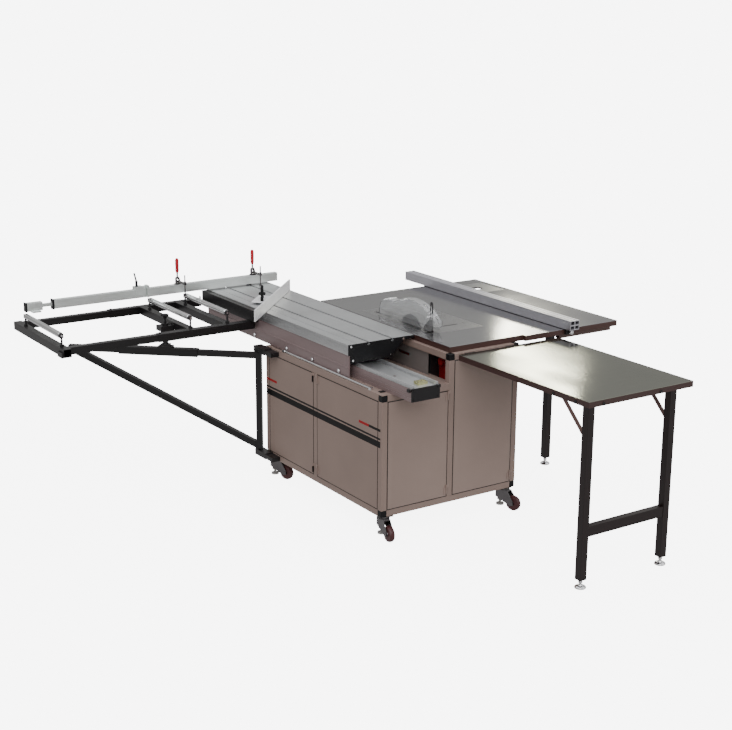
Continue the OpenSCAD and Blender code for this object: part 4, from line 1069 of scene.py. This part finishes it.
@dataclass
class CrosscutFence:
    """The crosscut fence with its extension, flip stop and two toggle clamps."""

    ribs: int = 9

    def build(self) -> None:
        """Dresses the fence and builds the clamps' grips."""
        cap: Test = lambda s: s.size.x < 0.012
        pin: Test = lambda s: s.size.z < 0.009 and s.size.x > 0.02
        patches = [Patch(Coat.BLACK_PLASTIC, cap), Patch(Coat.DARK_STEEL, pin)]
        dress("cross_fence", Coat.ALLOY_X, patches, bevel=0.001)
        dress("fence_extension", Coat.ALLOY_X, [Patch(Coat.BLACK_PLASTIC, cap)], bevel=0.001)
        lever: Test = lambda s: s.size.x < 0.03 and s.size.z > 0.04
        dress("flip_stop_body", Coat.ALLOY_X, [Patch(Coat.BLACK_PLASTIC, lever)], bevel=0.001)
        dress("flip_stop_arm", Coat.ALLOY_X, bevel=0.001)
        dress("toggle_bases", Coat.ZINC, bevel=0.0004)
        for side in ("a", "b"):
            dress(f"toggle_arm_{side}", Coat.ZINC, bevel=0.0006)
            self.tip(side)
            self.handle(side)

    def tip(self, side: str) -> None:
        """Fits the rubber tip under a clamp's spindle."""
        low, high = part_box(f"toggle_arm_{side}")
        place = Vector(((low.x + high.x) / 2, low.y + 0.007, low.z))
        mesh = bmesh.new()
        turned(mesh, [(0, 0), (0.0058, 0), (0.0069, 0.0012), (0.0069, 0.0088), (0.0055, 0.0118),
                      (0.0036, 0.0125)],
               place, Matrix.Identity(4), 32)
        finish_piece(f"toggle_tip_{side}", mesh, (Coat.RUBBER,), f"toggle_arm_{side}")

    def handle(self, side: str) -> None:
        """Builds a clamp's steel link and its ribbed grip."""
        node = f"toggle_handle_{side}"
        low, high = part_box(node)
        x, y = (low.x + high.x) / 2, (low.y + high.y) / 2
        joint = next(j for j in frame["joints"] if j["name"] == f"toggle_{side}_lever")
        pivot = Vector(joint["pos_m"])
        top, foot = high.z, high.z - 0.078
        mesh = bmesh.new()
        block(mesh, (x - 0.0032, y - 0.004, pivot.z), (x + 0.0032, y + 0.004, foot + 0.004), coat=0)
        bush = [(0.0031, -0.006), (0.0044, -0.006), (0.0044, 0.006), (0.0031, 0.006)]
        turned(mesh, bush, pivot, Axis.X.turn, 32, 0)
        shaft = [(0, 0), (0.0066, 0), (0.0078, 0.003), (0.0084, 0.020), (0.0092, 0.045), (0.0094, 0.066),
                 (0.0078, 0.0745), (0.004, 0.0778), (0, 0.078)]
        turned(mesh, shaft, Vector((x, y, foot)), Matrix.Identity(4), 36, 1)
        piece = finish_piece(f"{node}_built", mesh, (Coat.ZINC, Coat.RED_GRIP), node, 0.0)
        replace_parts(piece, node)
        ribs = RibTree(f"grip_ribs_{side}", 0.0088, 0.0019, 0.0068, self.ribs, Coat.RED_GRIP)
        scatter(f"grip_ribs_{side}", ribs, [Vector((x, y, foot + 0.010))], Axis.Z, node, smooth=True)


def lobed_knob(mesh: bmesh.types.BMesh, base: Vector, radius: float, height: float, lobes: int = 5) -> None:
    """Adds a clamping knob with rounded lobes on a short stem.

    Args:
        mesh: what it is added to.
        base: the foot of its stem.
        radius: its greatest radius.
        height: its full height.
        lobes: how many lobes it has.
    """
    steps, rings = 80, []
    for share, rise, wave in ((0.42, 0.0, 0), (0.42, 0.46, 0), (0.84, 0.50, 0.13), (0.88, 0.60, 0.135),
                              (0.88, 0.80, 0.135), (0.76, 0.92, 0.1), (0.45, 0.985, 0.02), (0.02, 1.0, 0)):
        ring = []
        for a in (math.tau * i / steps for i in range(steps)):
            reach = radius * share * (1 + wave * math.cos(lobes * a))
            point = Vector((reach * math.cos(a), reach * math.sin(a), height * rise))
            ring.append(mesh.verts.new(base + point))
        rings.append(ring)
    for low, high in zip(rings, rings[1:]):
        for i in range(steps):
            j = (i + 1) % steps
            mesh.faces.new((low[i], low[j], high[j], high[i]))
    mesh.faces.new(rings[0])
    mesh.faces.new(rings[-1])


@dataclass
class MitreGauge:
    """The mitre gauge: its base, fence plate, lobed knob and lever."""

    tilt: float = 8.0

    def build(self) -> None:
        """Dresses the base and plate, and shapes the knob and the lever."""
        dress("mitre_base", Coat.DARK_STEEL, bevel=0.0008)
        dress("mitre_fence", Coat.PLATE, bevel=0.0012, keep=lambda s: s.size.x > 0.1)
        lever, knob = sorted((s for s in solids_of("mitre_fence") if s.size.x < 0.1), key=lambda s: -s.size.z)
        mesh = bmesh.new()
        lobed_knob(mesh, Vector((knob.mid.x, knob.mid.y, knob.low.z)), knob.size.x / 2, knob.size.z)
        base, lean = Vector((lever.low.x + 0.008, lever.low.y + 0.008, lever.low.z)), math.radians(self.tilt)
        turned(mesh, [(0, 0), (0.008, 0), (0.008, 0.021), (0.0065, 0.0215)], base, Matrix.Identity(4), 32)
        along = (Vector((lever.high.x, lever.high.y, 0)) - Vector((lever.low.x, lever.low.y, 0))).normalized()
        turn = Matrix.Rotation(lean, 4, Vector((-along.y, along.x, 0)))
        grip = [(0, 0), (0.0055, 0), (0.0062, 0.006), (0.0072, 0.022), (0.0076, 0.044), (0.0068, 0.056),
                (0.0042, 0.0612),
                (0, 0.0618)]
        turned(mesh, grip, base + Vector((0, 0, 0.021)), turn, 36)
        finish_piece("mitre_knob_and_lever", mesh, (Coat.BLACK_PLASTIC,), "mitre_fence")


@dataclass
class RipFence:
    """The rip fence across the extension, with its clamps."""

    def build(self) -> None:
        """Dresses the fence bar, jaws and screws."""
        jaw: Test = lambda s: s.size.y < 0.02
        screw: Test = lambda s: s.size.x < 0.03
        patches = [Patch(Coat.BLACK_PAINT, jaw), Patch(Coat.CHROME, screw)]
        dress("rip_fence", Coat.RIP_ALLOY, patches, bevel=0.0012)


@dataclass
class SawUnit:
    """Saw plate, motor, blades, riving knife and the clear guard."""

    def build(self) -> None:
        """Dresses the saw unit and the guard."""
        dress("saw_plate", Coat.RED, bevel=0.001)
        dress("saw_motor", Coat.DARK_STEEL, bevel=0.002)
        dress("main_blade", Coat.BLADE, bevel=0.0)
        dress("score_blade", Coat.BLADE, bevel=0.0)
        dress("riving_knife", Coat.DARK_STEEL, bevel=0.0003)
        dress("blade_guard", Coat.CLEAR, bevel=0.001)
        dress("guard_bolt", Coat.CHROME, bevel=0.0006)


# ---------------------------------------------------------------- studio
@dataclass
class Studio:
    """Floor, lights and camera."""

    eye: tuple[float, float, float] = (-3.5471, -5.4107, 2.4910)
    yaw: float = 33.485
    pitch: float = 15.502
    roll: float = 0.347
    lens: float = 69.92
    floor: float = 400.0
    glow: float = 6.2

    def camera(self) -> None:
        """Sets the camera by its place and its three angles."""
        data = bpy.data.cameras.new("camera")
        data.lens, data.sensor_width, data.clip_end = self.lens, 36, 2000
        camera = bpy.data.objects.new("camera", data)
        bpy.context.scene.collection.objects.link(camera)
        yaw, pitch, roll = (math.radians(a) for a in (self.yaw, self.pitch, self.roll))
        ahead = Vector((math.sin(yaw) * math.cos(pitch), math.cos(yaw) * math.cos(pitch), -math.sin(pitch)))
        right = Vector((math.cos(yaw), -math.sin(yaw), 0))
        up = right.cross(ahead)
        side = right * math.cos(roll) + up * math.sin(roll)
        camera.matrix_world = Matrix((side, side.cross(ahead), -ahead)).transposed().to_4x4()
        camera.location = self.eye
        bpy.context.scene.camera = camera

    def ground(self) -> None:
        """Lays the pale floor."""
        mesh = bmesh.new()
        bmesh.ops.create_grid(mesh, x_segments=1, y_segments=1, size=self.floor)
        data = bpy.data.meshes.new("floor")
        mesh.to_mesh(data)
        mesh.free()
        sheet = Sheet("pale_floor")
        sheet.set(Base_Color=(0.86, 0.86, 0.86, 1), Roughness=0.9, Specular_IOR_Level=0.0,
                  Emission_Color=(1, 1, 1, 1), Emission_Strength=self.glow)
        data.materials.append(sheet.material)
        floor = link_piece("floor", data)
        floor.visible_diffuse = floor.visible_glossy = False

    def softbox(self, name: str, place: Sequence[float], aim: Sequence[float], size: tuple[float, float],
                power: float, tint: Colour = (1, 1, 1), tilt: float = 0.0) -> None:
        """Hangs one soft light.

        Args:
            name: the light's name.
            place: where it hangs.
            aim: the point that it faces.
            size: its two sides.
            power: its power in watts.
            tint: its colour.
            tilt: how far it is turned in its own plane, in degrees.
        """
        data = bpy.data.lights.new(name, "AREA")
        data.shape, data.size, data.size_y = "RECTANGLE", *size
        data.energy, data.color = power, tint
        self.hang(data, place, aim, tilt)

    def sky(self, name: str, place: Sequence[float], power: float, spread: float) -> None:
        """Hangs one wide, even light that comes from a far place."""
        data = bpy.data.lights.new(name, "SUN")
        data.energy, data.angle = power, math.radians(spread)
        self.hang(data, place, (0, 0, 0))

    def hang(self, data: bpy.types.Light, place: Sequence[float], aim: Sequence[float],
             tilt: float = 0.0) -> None:
        """Puts a light in its place and turns it to a point."""
        light = bpy.data.objects.new(data.name, data)
        bpy.context.scene.collection.objects.link(light)
        facing = (Vector(aim) - Vector(place)).to_track_quat("-Z", "Y").to_matrix().to_4x4()
        light.matrix_world = Matrix.Translation(place) @ facing @ Matrix.Rotation(math.radians(tilt), 4, "Z")

    def build(self) -> None:
        """Sets up the whole studio."""
        self.camera()
        self.ground()
        world = bpy.data.worlds.new("studio")
        bpy.context.scene.world = world
        world.use_nodes = True
        tree = world.node_tree
        ramp, split = tree.nodes.new("ShaderNodeValToRGB"), tree.nodes.new("ShaderNodeSeparateXYZ")
        place, span = tree.nodes.new("ShaderNodeTexCoord"), tree.nodes.new("ShaderNodeMapRange")
        span.inputs["From Min"].default_value = -1
        tree.links.new(place.outputs["Generated"], split.inputs["Vector"])
        tree.links.new(split.outputs["Z"], span.inputs["Value"])
        tree.links.new(span.outputs["Result"], ramp.inputs["Fac"])
        tree.links.new(ramp.outputs["Color"], tree.nodes["Background"].inputs["Color"])
        low, high = ramp.color_ramp.elements
        low.position, low.color = 0.40, (0.55, 0.54, 0.54, 1)
        high.position, high.color = 0.86, (1.0, 1.0, 1.03, 1)
        for at, tone in ((0.47, 0.30), (0.60, 0.42), (0.68, 0.50)):
            ramp.color_ramp.elements.new(at).color = (tone, tone, tone * 0.97, 1)
        self.sky("key", (-3.0, -4.4, 4.2), 1.7, 50)
        self.sky("fill", (4.0, -3.4, 2.6), 0.6, 60)
        self.sky("top", (0.5, 1.5, 6.0), 0.5, 70)
        self.softbox("streak", (2.224, 1.314, 1.606), (0.35, -0.85, 0.82), (0.14, 0.62), 6,
                     (1.0, 0.98, 0.78), 53)


def main() -> None:
    """Builds every sub-assembly and the studio."""
    logging.basicConfig(level=logging.INFO, format="%(name)s %(message)s")
    castors = [Castor(n) for n in (1, 2, 3, 4)]
    parts = (Cabinet(), *castors, Tables(), Beam(), Carriage(), Outrigger(), SwingArm(),
             CrosscutFence(), MitreGauge(), RipFence(), SawUnit(), Studio())
    for part in parts:
        part.build()
        LOG.info("built %s", type(part).__name__)


if __name__ == "__main__":
    main()
